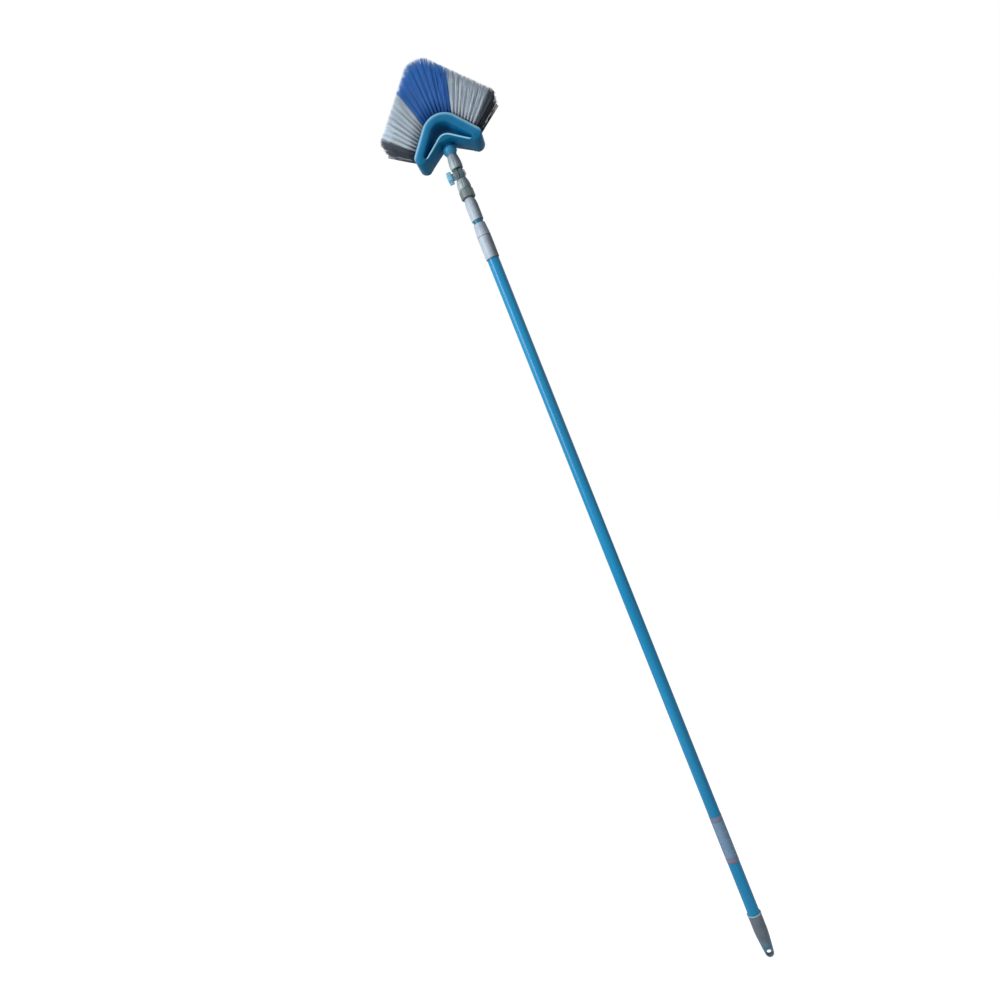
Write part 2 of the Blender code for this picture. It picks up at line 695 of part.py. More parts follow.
def add_clamp(half, side, barrel_end):
    """Relieves a barrel for the other cheek's swing, adds its own cheek, and bores it for the bolt."""
    clear = LUG_DIAMETER / 2 + SWING_CLEARANCE
    near, far = sorted((-side * (LUG_INNER - SWING_CLEARANCE), -side * (LUG_OUTER + LUG_DIAMETER)))
    cut(half, cross_bar(clear, near, far))
    fuse(half, lug_neck(side, barrel_end))
    fuse(half, clamp_lug(side))
    near, far = sorted((side * (LUG_INNER - OVERRUN), side * (LUG_OUTER + OVERRUN)))
    cut(half, cross_bar(BOLT_BORE_RADIUS, near, far))


def make_lower_knuckle(knuckle):
    """The lower half: a spigot through the lock ring, a fluted barrel, and the cheek at +X."""
    foot = LOWER_BARREL_FOOT_DIAMETER / 2
    belly = LOWER_BARREL_BELLY_DIAMETER / 2
    neck = LOWER_BARREL_NECK_DIAMETER / 2
    bottom = LOWER_BARREL_BOTTOM - PIVOT_HEIGHT
    tip = ADAPTER_TOP - SPIGOT_ENTRY - PIVOT_HEIGHT
    spigot = SPIGOT_DIAMETER / 2
    angles = flute_angles()
    rings = [
        polar_ring(tip, lambda a: spigot - BARREL_EDGE, angles),
        polar_ring(tip + BARREL_EDGE, lambda a: spigot, angles),
        polar_ring(bottom, lambda a: spigot, angles),
    ]
    rings += fluted_rings(
        bottom,
        LOWER_BARREL_LENGTH,
        lambda share: swelling(foot, belly, neck, LOWER_BELLY_SHARE, share),
    )
    half = lofted(rings)
    add_clamp(half, 1, LOWER_BARREL_TOP - PIVOT_HEIGHT)
    finish(half, "lower_knuckle", NECK_GREY, knuckle)


def make_upper_knuckle(tilt):
    """The upper half: the cheek at -X, a fluted barrel, and a socket for the swivel stem."""
    foot = UPPER_BARREL_FOOT_DIAMETER / 2
    belly = UPPER_BARREL_BELLY_DIAMETER / 2
    neck = UPPER_BARREL_NECK_DIAMETER / 2
    bottom = UPPER_BARREL_BOTTOM - PIVOT_HEIGHT
    top = UPPER_BARREL_TOP - PIVOT_HEIGHT
    half = lofted(fluted_rings(
        bottom,
        UPPER_BARREL_LENGTH,
        lambda share: swelling(foot, belly, neck, UPPER_BELLY_SHARE, share),
    ))
    add_clamp(half, -1, bottom)
    cut(half, bar(STEM_DIAMETER / 2 + SEAT_GAP, top - STEM_SOCKET_DEPTH, top + OVERRUN))
    finish(half, "upper_knuckle", NECK_GREY, tilt)


def washer_outline(diameter, thickness):
    outer = diameter / 2
    bore = BOLT_BORE_RADIUS
    return [(outer, thickness), (outer, 0.0), (bore, 0.0), (bore, thickness)]


def make_friction_washer(knuckle):
    washer = turned(washer_outline(WASHER_DIAMETER, WASHER_THICKNESS))
    lay_along_x(washer, 1, -WASHER_THICKNESS / 2)
    finish(washer, "friction_washer", DARK_POLYMER, knuckle)


def make_knob_washer(knob_axis):
    washer = turned(washer_outline(KNOB_WASHER_DIAMETER, KNOB_WASHER_THICKNESS))
    lay_along_x(washer, -1, -KNOB_WASHER_INNER)
    finish(washer, "knob_washer", STEEL, knob_axis)


def make_knuckle_bolt(knuckle):
    """A domed bolt: its head lies on the lower half's cheek, its end is held by the knob's insert."""
    shank = BOLT_DIAMETER / 2
    head = BOLT_HEAD_DIAMETER / 2
    under_head = LUG_OUTER + SEAT_GAP
    rim = BOLT_HEAD_HEIGHT * BOLT_RIM_SHARE
    dome = [(head * out, under_head + rim + (BOLT_HEAD_HEIGHT - rim) * up) for out, up in quarter()]
    end = -(KNOB_INNER + INSERT_LENGTH)
    outline = [
        *dome,
        (head, under_head),
        (shank, under_head),
        (shank, end + SEAT_GAP),
        (shank - SEAT_GAP, end),
        (0.0, end),
    ]
    bolt = turned(outline)
    lay_along_x(bolt, 1)
    finish(bolt, "knuckle_bolt", STEEL, knuckle)


def star_radius(angle, inset):
    """The star's edge: round lobes with hollows between them."""
    lobe = ((1.0 + math.cos(KNOB_LOBES * angle)) / 2) ** KNOB_LOBE_ROUNDNESS_SHARE
    return (KNOB_VALLEY_DIAMETER + (KNOB_TIP_DIAMETER - KNOB_VALLEY_DIAMETER) * lobe) / 2 - inset


def hexagon_radius(angle, across_corners):
    half_side = math.pi / HEXAGON_SIDES
    from_flat = (angle + half_side) % (2 * half_side) - half_side
    return across_corners / 2 * math.cos(half_side) / math.cos(half_side - abs(from_flat))


def make_star_knob(knob_axis):
    """The knob is lofted round its own axis: a hexagon pocket for the insert, a hub, and the lobed star."""
    angles = even_angles(KNOB_LOBES * POINTS_PER_KNOB_LOBE)
    pocket = INSERT_ACROSS_CORNERS + 2 * SEAT_GAP
    hub = KNOB_HUB_DIAMETER / 2
    base = KNOB_HUB_LENGTH
    top = base + KNOB_STAR_THICKNESS
    crown = KNOB_TIP_DIAMETER * KNOB_CROWN_SHARE / 2
    rings = [
        polar_ring(INSERT_LENGTH + 2 * SEAT_GAP, lambda a: hexagon_radius(a, pocket), angles),
        polar_ring(0.0, lambda a: hexagon_radius(a, pocket), angles),
        polar_ring(0.0, lambda a: hub, angles),
        polar_ring(base, lambda a: hub, angles),
    ]
    round_edge = [(KNOB_EDGE * (1.0 - out), KNOB_EDGE * (1.0 - up)) for up, out in quarter(KNOB_EDGE_STEPS)]
    for rise, inset in round_edge:
        rings.append(polar_ring(base + rise, lambda a: star_radius(a, inset), angles))
    for rise, inset in reversed(round_edge):
        rings.append(polar_ring(top - rise, lambda a: star_radius(a, inset), angles))
    rings.append(polar_ring(top + KNOB_CROWN_HEIGHT, lambda a: crown, angles))
    knob = lofted(rings)
    lay_along_x(knob, -1, -KNOB_INNER)
    finish(knob, "star_knob", KNOB_BLUE, knob_axis)


def make_knob_insert(knob_axis):
    """The hexagon nut pressed into the knob, open at both ends for the bolt."""
    angles = even_angles(HEXAGON_SIDES)
    corner = INSERT_ACROSS_CORNERS / 2
    nut = lofted([polar_ring(height, lambda a: corner, angles) for height in (0.0, INSERT_LENGTH)])
    cut(nut, bar(BOLT_BORE_RADIUS, -OVERRUN, INSERT_LENGTH + OVERRUN))
    lay_along_x(nut, -1, -KNOB_INNER - SEAT_GAP)
    finish(nut, "knob_insert", BRASS, knob_axis)


# Head

def make_head_collar(tilt):
    """The blue union collar between the upper barrel and the boss, bored to clear the stem's flange."""
    bore = STEM_FLANGE_DIAMETER / 2 + SEAT_GAP
    foot = bore + COLLAR_FOOT_WALL
    wide = COLLAR_DIAMETER / 2
    top = COLLAR_HEIGHT
    band = top - COLLAR_BAND_HEIGHT
    outline = [
        (wide - COLLAR_EDGE, top),
        (wide, top - COLLAR_EDGE),
        (wide, band),
        (wide - COLLAR_EDGE, band - COLLAR_EDGE),
        (foot, COLLAR_EDGE),
        (foot - COLLAR_EDGE / 2, 0.0),
        (bore, 0.0),
        (bore, top),
    ]
    finish(turned(outline), "head_collar", HEAD_BLUE, tilt, COLLAR_BOTTOM - PIVOT_HEIGHT)


def make_swivel_stem(swivel):
    """The stem that the head turns on: foot in the upper barrel, flange on its top, head in the boss."""
    shaft = STEM_DIAMETER / 2
    flange = STEM_FLANGE_DIAMETER / 2
    top = COLLAR_HEIGHT + STEM_BORE_DEPTH
    foot = SEAT_GAP - STEM_SOCKET_DEPTH
    outline = [
        (0.0, top),
        (shaft - SEAT_GAP, top),
        (shaft, top - SEAT_GAP),
        (shaft, STEM_FLANGE_THICKNESS),
        (flange, STEM_FLANGE_THICKNESS),
        (flange, 0.0),
        (shaft, 0.0),
        (shaft, foot),
        (0.0, foot),
    ]
    finish(turned(outline), "swivel_stem", STEEL, swivel, COLLAR_BOTTOM - PIVOT_HEIGHT)


def outward(angle):
    """The unit vector at an angle from straight up, towards +X, as (x, z)."""
    return math.sin(angle), math.cos(angle)


def arch_point(run, depth=0.0):
    """A point at a run along the arch's outer face from its crown, set in by a depth."""
    turn = min(abs(run) / ARCH_RADIUS, ARCH_SLOPE)
    past = max(0.0, abs(run) - ARCH_ROUND_RUN)
    radius = ARCH_RADIUS - depth
    x = radius * math.sin(turn) + past * math.cos(ARCH_SLOPE)
    z = ARCH_CENTRE_HEIGHT + radius * math.cos(turn) - past * math.sin(ARCH_SLOPE)
    return Vector((math.copysign(x, run), 0.0, z))


def run_stations(start, end):
    """Runs along the arch from start to end, with a station at each step of the round part."""
    count = round(ARCH_SLOPE_DEG / ARC_STEP_DEG)
    step = ARCH_ROUND_RUN / count
    inner = [step * i for i in range(-count, count + 1)]
    return [start] + [run for run in inner if start + step / 4 < run < end - step / 4] + [end]


def arch_outline():
    """The arch's outline: its outer face, the hooked toes, the window's round corners and its inner face."""
    half = [arch_point(run) for run in run_stations(0.0, FACE_HALF_RUN)]
    half = [(place.x, place.z) for place in half]
    for i in range(1, TOE_STEPS + 1):
        x, z = outward(ARCH_SLOPE + (TOE_HOOK - ARCH_SLOPE) * i / TOE_STEPS)
        half.append((TOE_X + TOE_RADIUS * x, TOE_Z + TOE_RADIUS * z))
    for i in range(WINDOW_CORNER_STEPS + 1):
        x, z = outward(TOE_HOOK + (ARCH_SLOPE - TOE_HOOK) * i / WINDOW_CORNER_STEPS)
        half.append((WINDOW_CORNER_X + WINDOW_CORNER_RADIUS * x, WINDOW_CORNER_Z + WINDOW_CORNER_RADIUS * z))
    radius = ARCH_RADIUS - ARCH_THICKNESS
    steps = round(ARCH_SLOPE_DEG / ARC_STEP_DEG)
    for i in range(steps + 1):
        x, z = outward(ARCH_SLOPE * (1.0 - i / steps))
        half.append((radius * x, ARCH_CENTRE_HEIGHT + radius * z))
    return half + [(-x, z) for x, z in reversed(half[1:-1])]


def strap_top(x):
    """The strap's upper edge: a round crown, then a straight slope."""
    slope = math.radians(STRAP_SLOPE_DEG)
    end = STRAP_CROWN_RADIUS * math.sin(slope)
    centre = STRAP_CROWN_HEIGHT - STRAP_CROWN_RADIUS
    if abs(x) < end:
        return centre + math.sqrt(STRAP_CROWN_RADIUS ** 2 - x ** 2)
    return centre + STRAP_CROWN_RADIUS * math.cos(slope) - (abs(x) - end) * math.tan(slope)


def strap_bottom(x):
    """The strap's lower edge: level inside the boss, then straight down to the tip of the toe's hook."""
    level_end = BOSS_DIAMETER / 2
    foot = TOE_TIP_Z + STRAP_FOOT_LIFT
    fall = (STRAP_ROOT_HEIGHT - foot) / (TOE_TIP_X - level_end)
    return max(foot, STRAP_ROOT_HEIGHT - max(0.0, abs(x) - level_end) * fall)


def strap_section(x):
    """The strap's section at a place along X, with rounded corners."""
    low, high = strap_bottom(x), strap_top(x)
    edge = min(STRAP_EDGE, (high - low) * STRAP_EDGE_LIMIT_SHARE)
    corners = ((1, high - edge), (-1, high - edge), (-1, low + edge), (1, low + edge))
    ring = []
    for place, (side, z) in enumerate(corners):
        for i in range(STRAP_CORNER_POINTS):
            turn = QUARTER_TURN * (place + i / (STRAP_CORNER_POINTS - 1))
            y = side * (STRAP_DEPTH / 2 - edge) + edge * math.cos(turn)
            ring.append(Vector((x, y, z + edge * math.sin(turn))))
    return ring


def strap():
    """The plate across the arch, from toe to toe, nearly as deep as the arch itself."""
    reach = TOE_X - TOE_RADIUS * STRAP_END_SHARE
    rings = []
    for i in range(-STRAP_STATIONS, STRAP_STATIONS + 1):
        share = abs(i / STRAP_STATIONS) ** STRAP_CROWDING_SHARE
        rings.append(strap_section(math.copysign(reach * share, i)))
    return lofted(rings)


def boss():
    """The domed boss under the strap's middle."""
    radius = BOSS_DIAMETER / 2
    skirt = BOSS_FOOT_HEIGHT + BOSS_SKIRT
    dome = [(radius * out, skirt + (BOSS_HEIGHT - BOSS_SKIRT) * up) for out, up in quarter(TIP_STEPS)]
    return turned([*dome, (radius, BOSS_FOOT_HEIGHT), (0.0, BOSS_FOOT_HEIGHT)])


def face_slice(start, end, half_depth, top, bottom):
    """A curved plate on the arch's outer face, between two runs and two depths below the face."""
    rings = []
    for run in run_stations(start, end):
        outer = arch_point(run, top)
        inner = arch_point(run, bottom)
        corners = ((outer, -half_depth), (outer, half_depth), (inner, half_depth), (inner, -half_depth))
        rings.append([Vector((place.x, y, place.z)) for place, y in corners])
    return lofted(rings)


def make_head_block(swivel):
    """The moulded block: arch, strap and boss in one body, the pocket for the tufts, and the stem's bore."""
    block = extruded(arch_outline(), BLOCK_DEPTH)
    soften_rims(block, BLOCK_EDGE)
    end = LAST_TUFT_RUN + SLICE_END_MARGIN + SEAT_GAP
    cut(block, face_slice(-end, end, SLICE_HALF_DEPTH + SEAT_GAP, -OVERRUN, SLICE_THICKNESS + SEAT_GAP))
    fuse(block, strap())
    fuse(block, boss())
    bore = STEM_DIAMETER / 2 + SEAT_GAP
    cut(block, bar(bore, BOSS_FOOT_HEIGHT - OVERRUN, BOSS_FOOT_HEIGHT + STEM_BORE_DEPTH))
    finish(block, "head_block", HEAD_BLUE, swivel, HEAD_ORIGIN - PIVOT_HEIGHT)


# Bristles

def tip_distance(root, way):
    """How far a strand runs before it meets the pack's trimmed outline: two slopes and a low crown."""
    nearest = math.inf
    for side in (-1.0, 1.0):
        for x, z, lean in (
            (PACK_HALF_WIDTH, 0.0, math.radians(PACK_SLOPE_DEG)),
            (0.0, PACK_CROWN_HEIGHT, math.radians(PACK_CROWN_FALL_DEG)),
        ):
            normal = Vector((side * math.sin(lean), 0.0, math.cos(lean)))
            edge = Vector((side * x, 0.0, z))
            facing = normal.dot(way)
            if facing > 0.0:
                nearest = min(nearest, normal.dot(edge - root) / facing)
    return nearest


def strand_rings(foot, tip, across):
    """One strand from its sunk foot to its narrower tip, as two rings of points."""
    along = (tip - foot).normalized()
    side = along.cross(across).normalized()
    up = side.cross(along)
    rings = []
    for place, share in ((foot, 1.0), (tip, STRAND_TIP_SHARE)):
        radius = STRAND_DIAMETER / 2 * share
        spokes = [math.cos(a) * side + math.sin(a) * up for a in even_angles(STRAND_SIDES)]
        rings.append([place + radius * spoke for spoke in spokes])
    return rings


def tuft(run, row):
    """The strands of one tuft: they leave the block close together and spread towards their tips."""
    lean = math.radians(FAN_END_DEG) * run / LAST_TUFT_RUN
    x, z = outward(lean)
    along = Vector((x, 0.0, z))
    across = Vector((z, 0.0, -x))
    depthwise = Vector((0.0, 1.0, 0.0))
    sunk = SLICE_THICKNESS / 2
    root = arch_point(run, sunk) + depthwise * row
    middle = root + along * tip_distance(root, along) + depthwise * row * ROW_SPREAD_SHARE
    strands = []
    for i in range(STRANDS_PER_TUFT):
        turn = FULL_TURN * i / STRANDS_PER_TUFT + math.copysign(math.pi / 6, row)
        side, out = math.cos(turn), math.sin(turn)
        foot = arch_point(run + TUFT_ROOT_RADIUS * side, sunk) + depthwise * (row + TUFT_ROOT_RADIUS * out)
        aim = middle + TUFT_TIP_RADIUS * (side * across + out * depthwise)
        way = (aim - foot).normalized()
        strands.append(strand_rings(foot, foot + way * tip_distance(foot, way), across))
    return strands


def make_bristles(name, look, swivel, first, last):
    """A group of tufts from one column to another, in all rows, fused to its slice of the backing."""
    runs = [(column - (TUFT_COLUMNS - 1) / 2) * TUFT_PITCH for column in range(first, last + 1)]
    rows = [(row - (TUFT_ROWS - 1) / 2) * ROW_PITCH for row in range(TUFT_ROWS)]
    strands = bmesh.new()
    for run in runs:
        for row in rows:
            for rings in tuft(run, row):
                skin(strands, rings)
    between = TUFT_PITCH / 2 - SEAT_GAP / 2
    start = runs[0] - (SLICE_END_MARGIN if first == 0 else between)
    end = runs[-1] + (SLICE_END_MARGIN if last == TUFT_COLUMNS - 1 else between)
    group = face_slice(start, end, SLICE_HALF_DEPTH, 0.0, SLICE_THICKNESS)
    fuse(group, as_object(strands))
    finish(group, name, look, swivel, HEAD_ORIGIN - PIVOT_HEIGHT)


def make_bristle_pack(swivel):
    """Grey tufts on both slopes and blue ones over the crown, in three groups."""
    last = TUFT_COLUMNS - 1
    blue_first = (TUFT_COLUMNS - BLUE_COLUMNS) // 2
    blue_last = last - blue_first
    make_bristles("bristles_left", BRISTLE_GREY, swivel, 0, blue_first - 1)
    make_bristles("bristles_centre", BRISTLE_BLUE, swivel, blue_first, blue_last)
    make_bristles("bristles_right", BRISTLE_GREY, swivel, blue_last + 1, last)
    print("strands:", TUFT_COLUMNS * TUFT_ROWS * STRANDS_PER_TUFT)


# Assembly

def build():
    for old in list(bpy.data.objects):
        bpy.data.objects.remove(old)
    handle = axis_frame("handle_frame")
    extension = axis_frame("extension_frame", handle)
    knuckle = axis_frame("knuckle_frame", extension, PIVOT_HEIGHT)
    knob_axis = axis_frame("knob_axis", knuckle)
    tilt = axis_frame("tilt_axis", knuckle)
    swivel = axis_frame("swivel_axis", tilt)

    make_end_cap(handle)
    make_outer_tube(handle)
    make_lock_body(handle)
    make_lock_collet(handle)
    make_lock_nut(handle)

    make_inner_guide(extension)
    make_inner_tube(extension)
    make_neck_adapter(extension)
    make_neck_ring(extension)

    make_lower_knuckle(knuckle)
    make_friction_washer(knuckle)
    make_knuckle_bolt(knuckle)
    make_knob_washer(knob_axis)
    make_star_knob(knob_axis)
    make_knob_insert(knob_axis)

    make_upper_knuckle(tilt)
    make_head_collar(tilt)
    make_swivel_stem(swivel)
    make_head_block(swivel)
    make_bristle_pack(swivel)
    bpy.context.view_layer.update()


build()
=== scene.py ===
# %% [markdown]
# # A telescopic ceiling brush, dressed for its photograph
#
# The real object is a brush for ceilings and cornices: an arched plastic block with a fan of bristles, on a
# clamped knuckle, on a pole of two painted tubes that twist-lock together. Its solids were modelled before,
# at real size, and are packed as a frame. This script keeps that frame still and gives it what a solid
# model lacks: real bristles, plastic and paint that look handled, light, and the photograph's point of
# view.
#
# The frame stands on the foot of its end cap, with +Z up the pole. Lengths are in metres.

import math
import random

import bpy
import numpy as np
from mathutils import Matrix, Vector
from mathutils.bvhtree import BVHTree


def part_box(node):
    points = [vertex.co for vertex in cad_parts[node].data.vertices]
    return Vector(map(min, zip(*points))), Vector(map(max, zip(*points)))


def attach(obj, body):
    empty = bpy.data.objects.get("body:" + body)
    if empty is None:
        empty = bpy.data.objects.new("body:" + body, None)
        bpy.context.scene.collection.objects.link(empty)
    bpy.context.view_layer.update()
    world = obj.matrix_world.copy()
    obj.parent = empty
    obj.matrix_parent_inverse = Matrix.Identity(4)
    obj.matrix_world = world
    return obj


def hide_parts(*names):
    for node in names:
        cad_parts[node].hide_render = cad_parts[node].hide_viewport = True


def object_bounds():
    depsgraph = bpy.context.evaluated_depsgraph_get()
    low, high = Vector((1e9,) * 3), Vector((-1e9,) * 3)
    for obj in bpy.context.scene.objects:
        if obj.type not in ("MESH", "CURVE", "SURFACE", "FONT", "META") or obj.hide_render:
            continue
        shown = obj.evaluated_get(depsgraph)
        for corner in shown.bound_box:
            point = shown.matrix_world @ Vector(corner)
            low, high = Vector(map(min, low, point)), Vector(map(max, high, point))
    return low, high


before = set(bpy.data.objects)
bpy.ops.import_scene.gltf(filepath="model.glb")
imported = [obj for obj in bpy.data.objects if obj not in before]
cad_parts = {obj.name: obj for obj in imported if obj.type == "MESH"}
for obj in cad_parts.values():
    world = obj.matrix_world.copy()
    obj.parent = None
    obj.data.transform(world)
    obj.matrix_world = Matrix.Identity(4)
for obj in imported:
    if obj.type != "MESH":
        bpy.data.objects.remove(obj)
CAD_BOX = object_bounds()
MM = 0.001
WIDTH, DEPTH, HEIGHT = 0, 1, 2
print("box of the solids:", [[round(value, 4) for value in corner] for corner in CAD_BOX])

# %% [markdown]
# ## The camera
#
# In the photograph the pole is evenly thick from end to end, so it lies parallel to the picture. The head
# is seen a little from below and the end cap a little from above, so the camera is close, about 1.5 m away,
# with a wide lens. It stands almost straight in front of the pole and looks a little to the left, which
# puts the pole right of the middle. The pole leans 21.7 degrees to the left. The brush could be leaned
# instead, but the frame has to stay where it is, so the camera rolls: its own up axis leans over by that
# angle.

# %% Camera
POLE_LEAN = math.radians(21.74)
LOOK_ASIDE = math.radians(7.23)
CAMERA_PLACE = Vector((0.020, -1.509, 1.075))
SENSOR_MM = 36.0
LENS_MM = 26.3


def add_object(name, data):
    """A new object in the scene, from a camera, a lamp or a mesh."""
    made = bpy.data.objects.new(name, data)
    bpy.context.scene.collection.objects.link(made)
    return made


def add_camera():
    lens = bpy.data.cameras.new("photo_camera")
    lens.sensor_width = SENSOR_MM
    lens.lens = LENS_MM
    level = Vector((math.cos(LOOK_ASIDE), math.sin(LOOK_ASIDE), 0.0))
    pole_way = Vector((0.0, 0.0, 1.0))
    right = level * math.cos(POLE_LEAN) - pole_way * math.sin(POLE_LEAN)
    up = level * math.sin(POLE_LEAN) + pole_way * math.cos(POLE_LEAN)
    back = right.cross(up)
    camera = add_object("photo_camera", lens)
    camera.matrix_world = Matrix.Translation(CAMERA_PLACE) @ Matrix((right, up, back)).transposed().to_4x4()
    bpy.context.scene.camera = camera
    print("camera at", tuple(round(value, 3) for value in camera.matrix_world.translation))


add_camera()

# %% [markdown]
# ## Floor, background and light
#
# The photograph is a cut-out on white. A white world gives that background without any extra light on the
# brush: rays from the camera and through glass see full white, rays that gloss sends see less, and all
# others see the soft level that lights the brush. The floor does the same for the camera, but mixes in a
# real matt surface, so that the brush's shadow still shows on it. Its glow is set so that open floor comes
# out just white.
#
# In the photograph the left side of each round piece is bright and its right side is dark. One tall soft
# lamp stands to the left in front, and a weak one fills from the right.

# %% Background and floor
WHITE = (1.0, 1.0, 1.0)
AMBIENT_LEVEL = 0.34
GLOSS_LEVEL = 0.62
FLOOR_SIZE = 60.0
FLOOR_MATT_SHARE = 0.35
FLOOR_WHITE = 0.80
FLOOR_GLOW = 1.41


def combine(tree, operation, first, second=0.0):
    """Two values through one sum; either may be a plain number. Some sums use only the first."""
    sums = tree.nodes.new("ShaderNodeMath")
    sums.operation = operation
    for place, value in enumerate((first, second)):
        if isinstance(value, (int, float)):
            sums.inputs[place].default_value = value
        else:
            tree.links.new(value, sums.inputs[place])
    return sums.outputs[0]


def white_world():
    world = bpy.data.worlds.new("white_studio")
    world.use_nodes = True
    tree = world.node_tree
    tree.nodes.clear()
    path = tree.nodes.new("ShaderNodeLightPath")
    gloss_share = (GLOSS_LEVEL - AMBIENT_LEVEL) / (1.0 - AMBIENT_LEVEL)
    seen = combine(tree, "MULTIPLY", path.outputs["Is Glossy Ray"], gloss_share)
    seen = combine(tree, "MAXIMUM", path.outputs["Is Camera Ray"], seen)
    seen = combine(tree, "MAXIMUM", seen, path.outputs["Is Transmission Ray"])
    level = tree.nodes.new("ShaderNodeMapRange")
    level.inputs["To Min"].default_value = AMBIENT_LEVEL
    level.inputs["To Max"].default_value = 1.0
    sky = tree.nodes.new("ShaderNodeBackground")
    sky.inputs["Color"].default_value = (*WHITE, 1.0)
    out = tree.nodes.new("ShaderNodeOutputWorld")
    tree.links.new(seen, level.inputs["Value"])
    tree.links.new(level.outputs[0], sky.inputs["Strength"])
    tree.links.new(sky.outputs[0], out.inputs["Surface"])
    bpy.context.scene.world = world


def floor_paint():
    paint = bpy.data.materials.new("floor_white")
    paint.use_nodes = True
    tree = paint.node_tree
    tree.nodes.clear()
    path = tree.nodes.new("ShaderNodeLightPath")
    matt = tree.nodes.new("ShaderNodeBsdfDiffuse")
    matt.inputs["Color"].default_value = (FLOOR_WHITE, FLOOR_WHITE, FLOOR_WHITE, 1.0)
    glow = tree.nodes.new("ShaderNodeEmission")
    glow.inputs["Color"].default_value = (*WHITE, 1.0)
    glow.inputs["Strength"].default_value = FLOOR_GLOW
    mix = tree.nodes.new("ShaderNodeMixShader")
    out = tree.nodes.new("ShaderNodeOutputMaterial")
    share = combine(tree, "MULTIPLY", path.outputs["Is Camera Ray"], 1.0 - FLOOR_MATT_SHARE)
    tree.links.new(share, mix.inputs[0])
    tree.links.new(matt.outputs[0], mix.inputs[1])
    tree.links.new(glow.outputs[0], mix.inputs[2])
    tree.links.new(mix.outputs[0], out.inputs["Surface"])
    return paint


def pale_floor():
    corners = [(x * FLOOR_SIZE, y * FLOOR_SIZE, 0.0) for x, y in ((-1, -1), (1, -1), (1, 1), (-1, 1))]
    mesh = bpy.data.meshes.new("floor")
    mesh.from_pydata(corners, [], [(0, 1, 2, 3)])
    mesh.materials.append(floor_paint())
    floor = add_object("floor", mesh)


white_world()
pale_floor()
bpy.context.scene.view_settings.view_transform = "Standard"
print("background: white to the camera,", AMBIENT_LEVEL, "to the surfaces")

# %% Lamps
LAMP_TARGET = Vector((0.0, 0.0, 1.30))
KEY_PLACE = Vector((-1.55, -1.35, 1.95))
KEY_SIZE = (0.8, 2.0)
KEY_WATTS = 44.0
FILL_PLACE = Vector((1.9, -1.6, 1.2))
FILL_SIZE = (1.2, 2.4)
FILL_WATTS = 3.0


def tall_lamp(name, place, size, watts):
    """A tall soft box that faces the upper half of the pole."""
    lamp = bpy.data.lights.new(name, "AREA")
    lamp.shape = "RECTANGLE"
    lamp.size, lamp.size_y = size
    lamp.energy = watts
    holder = add_object(name, lamp)
    holder.location = place
    holder.rotation_euler = (LAMP_TARGET - place).to_track_quat("-Z", "Y").to_euler()
    print(name, watts, "W")


tall_lamp("key_left", KEY_PLACE, KEY_SIZE, KEY_WATTS)
tall_lamp("fill_right", FILL_PLACE, FILL_SIZE, FILL_WATTS)

# %% [markdown]
# ## Round pieces that look round
#
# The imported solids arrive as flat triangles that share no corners, so a tube would show its facets. Their
# points have to stay as they are, but the directions that light is worked out with are free. Each corner's
# direction becomes the mean of the faces that meet at that place, as long as they turn by less than a limit
# from its own face, so round walls look round and real edges stay crisp. A wide corner counts for more than
# a sharp one.

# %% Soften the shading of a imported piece
CREASE = math.radians(34.0)
SAME_PLACE = 0.002 * MM
LEAST_AREA = 1e-15
LEAST_PRODUCT = 1e-18
LEAST_LENGTH = 1e-9


def triangle_corners(mesh):
    """The places of the three corners of every triangle."""
    corners = np.zeros(len(mesh.polygons) * 3, np.int32)
    mesh.polygons.foreach_get("vertices", corners)
    places = np.zeros(len(mesh.vertices) * 3)
    mesh.vertices.foreach_get("co", places)
    return places.reshape(-1, 3)[corners].reshape(-1, 3, 3)


def corner_angles(points):
    """How wide each triangle opens at each of its corners."""
    sides = [points[:, (i + 1) % 3] - points[:, i] for i in range(3)]
    opening = []
    for i in range(3):
        ahead, behind = sides[i], -sides[i - 1]
        product = np.linalg.norm(ahead, axis=1) * np.linalg.norm(behind, axis=1)
        cosine = (ahead * behind).sum(1) / np.maximum(product, LEAST_PRODUCT)
        opening.append(np.arccos(np.clip(cosine, -1.0, 1.0)))
    return np.stack(opening, 1)


def shade_round(piece):
    mesh = piece.data
    count = len(mesh.polygons)
    points = triangle_corners(mesh)
    crossed = np.cross(points[:, 1] - points[:, 0], points[:, 2] - points[:, 0])
    facing = crossed / np.maximum(np.linalg.norm(crossed, axis=1), LEAST_AREA)[:, None]
    weights = corner_angles(points)
    meeting = {}
    keys = np.round(points / SAME_PLACE).astype(np.int64)
    for face in range(count):
        for i in range(3):
            meeting.setdefault(tuple(keys[face, i]), []).append((face, i))
    softened = np.repeat(facing[:, None, :], 3, axis=1)
    for group in meeting.values():
        faces = [face for face, _ in group]
        ways = facing[faces]
        pull = weights[faces, [i for _, i in group]][:, None] * ways
        close = ways @ ways.T > math.cos(CREASE)
        for place, (face, i) in enumerate(group):
            total = pull[close[place]].sum(0)
            size = np.linalg.norm(total)
            if size > LEAST_LENGTH:
                softened[face, i] = total / size
    mesh.polygons.foreach_set("use_smooth", [True] * count)
    mesh.normals_split_custom_set(softened.reshape(-1, 3).tolist())


rigid_nodes = sorted(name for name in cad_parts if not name.startswith("bristles"))
for name in rigid_nodes:
    shade_round(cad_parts[name])
print("rounded the shading of", len(rigid_nodes), "pieces")

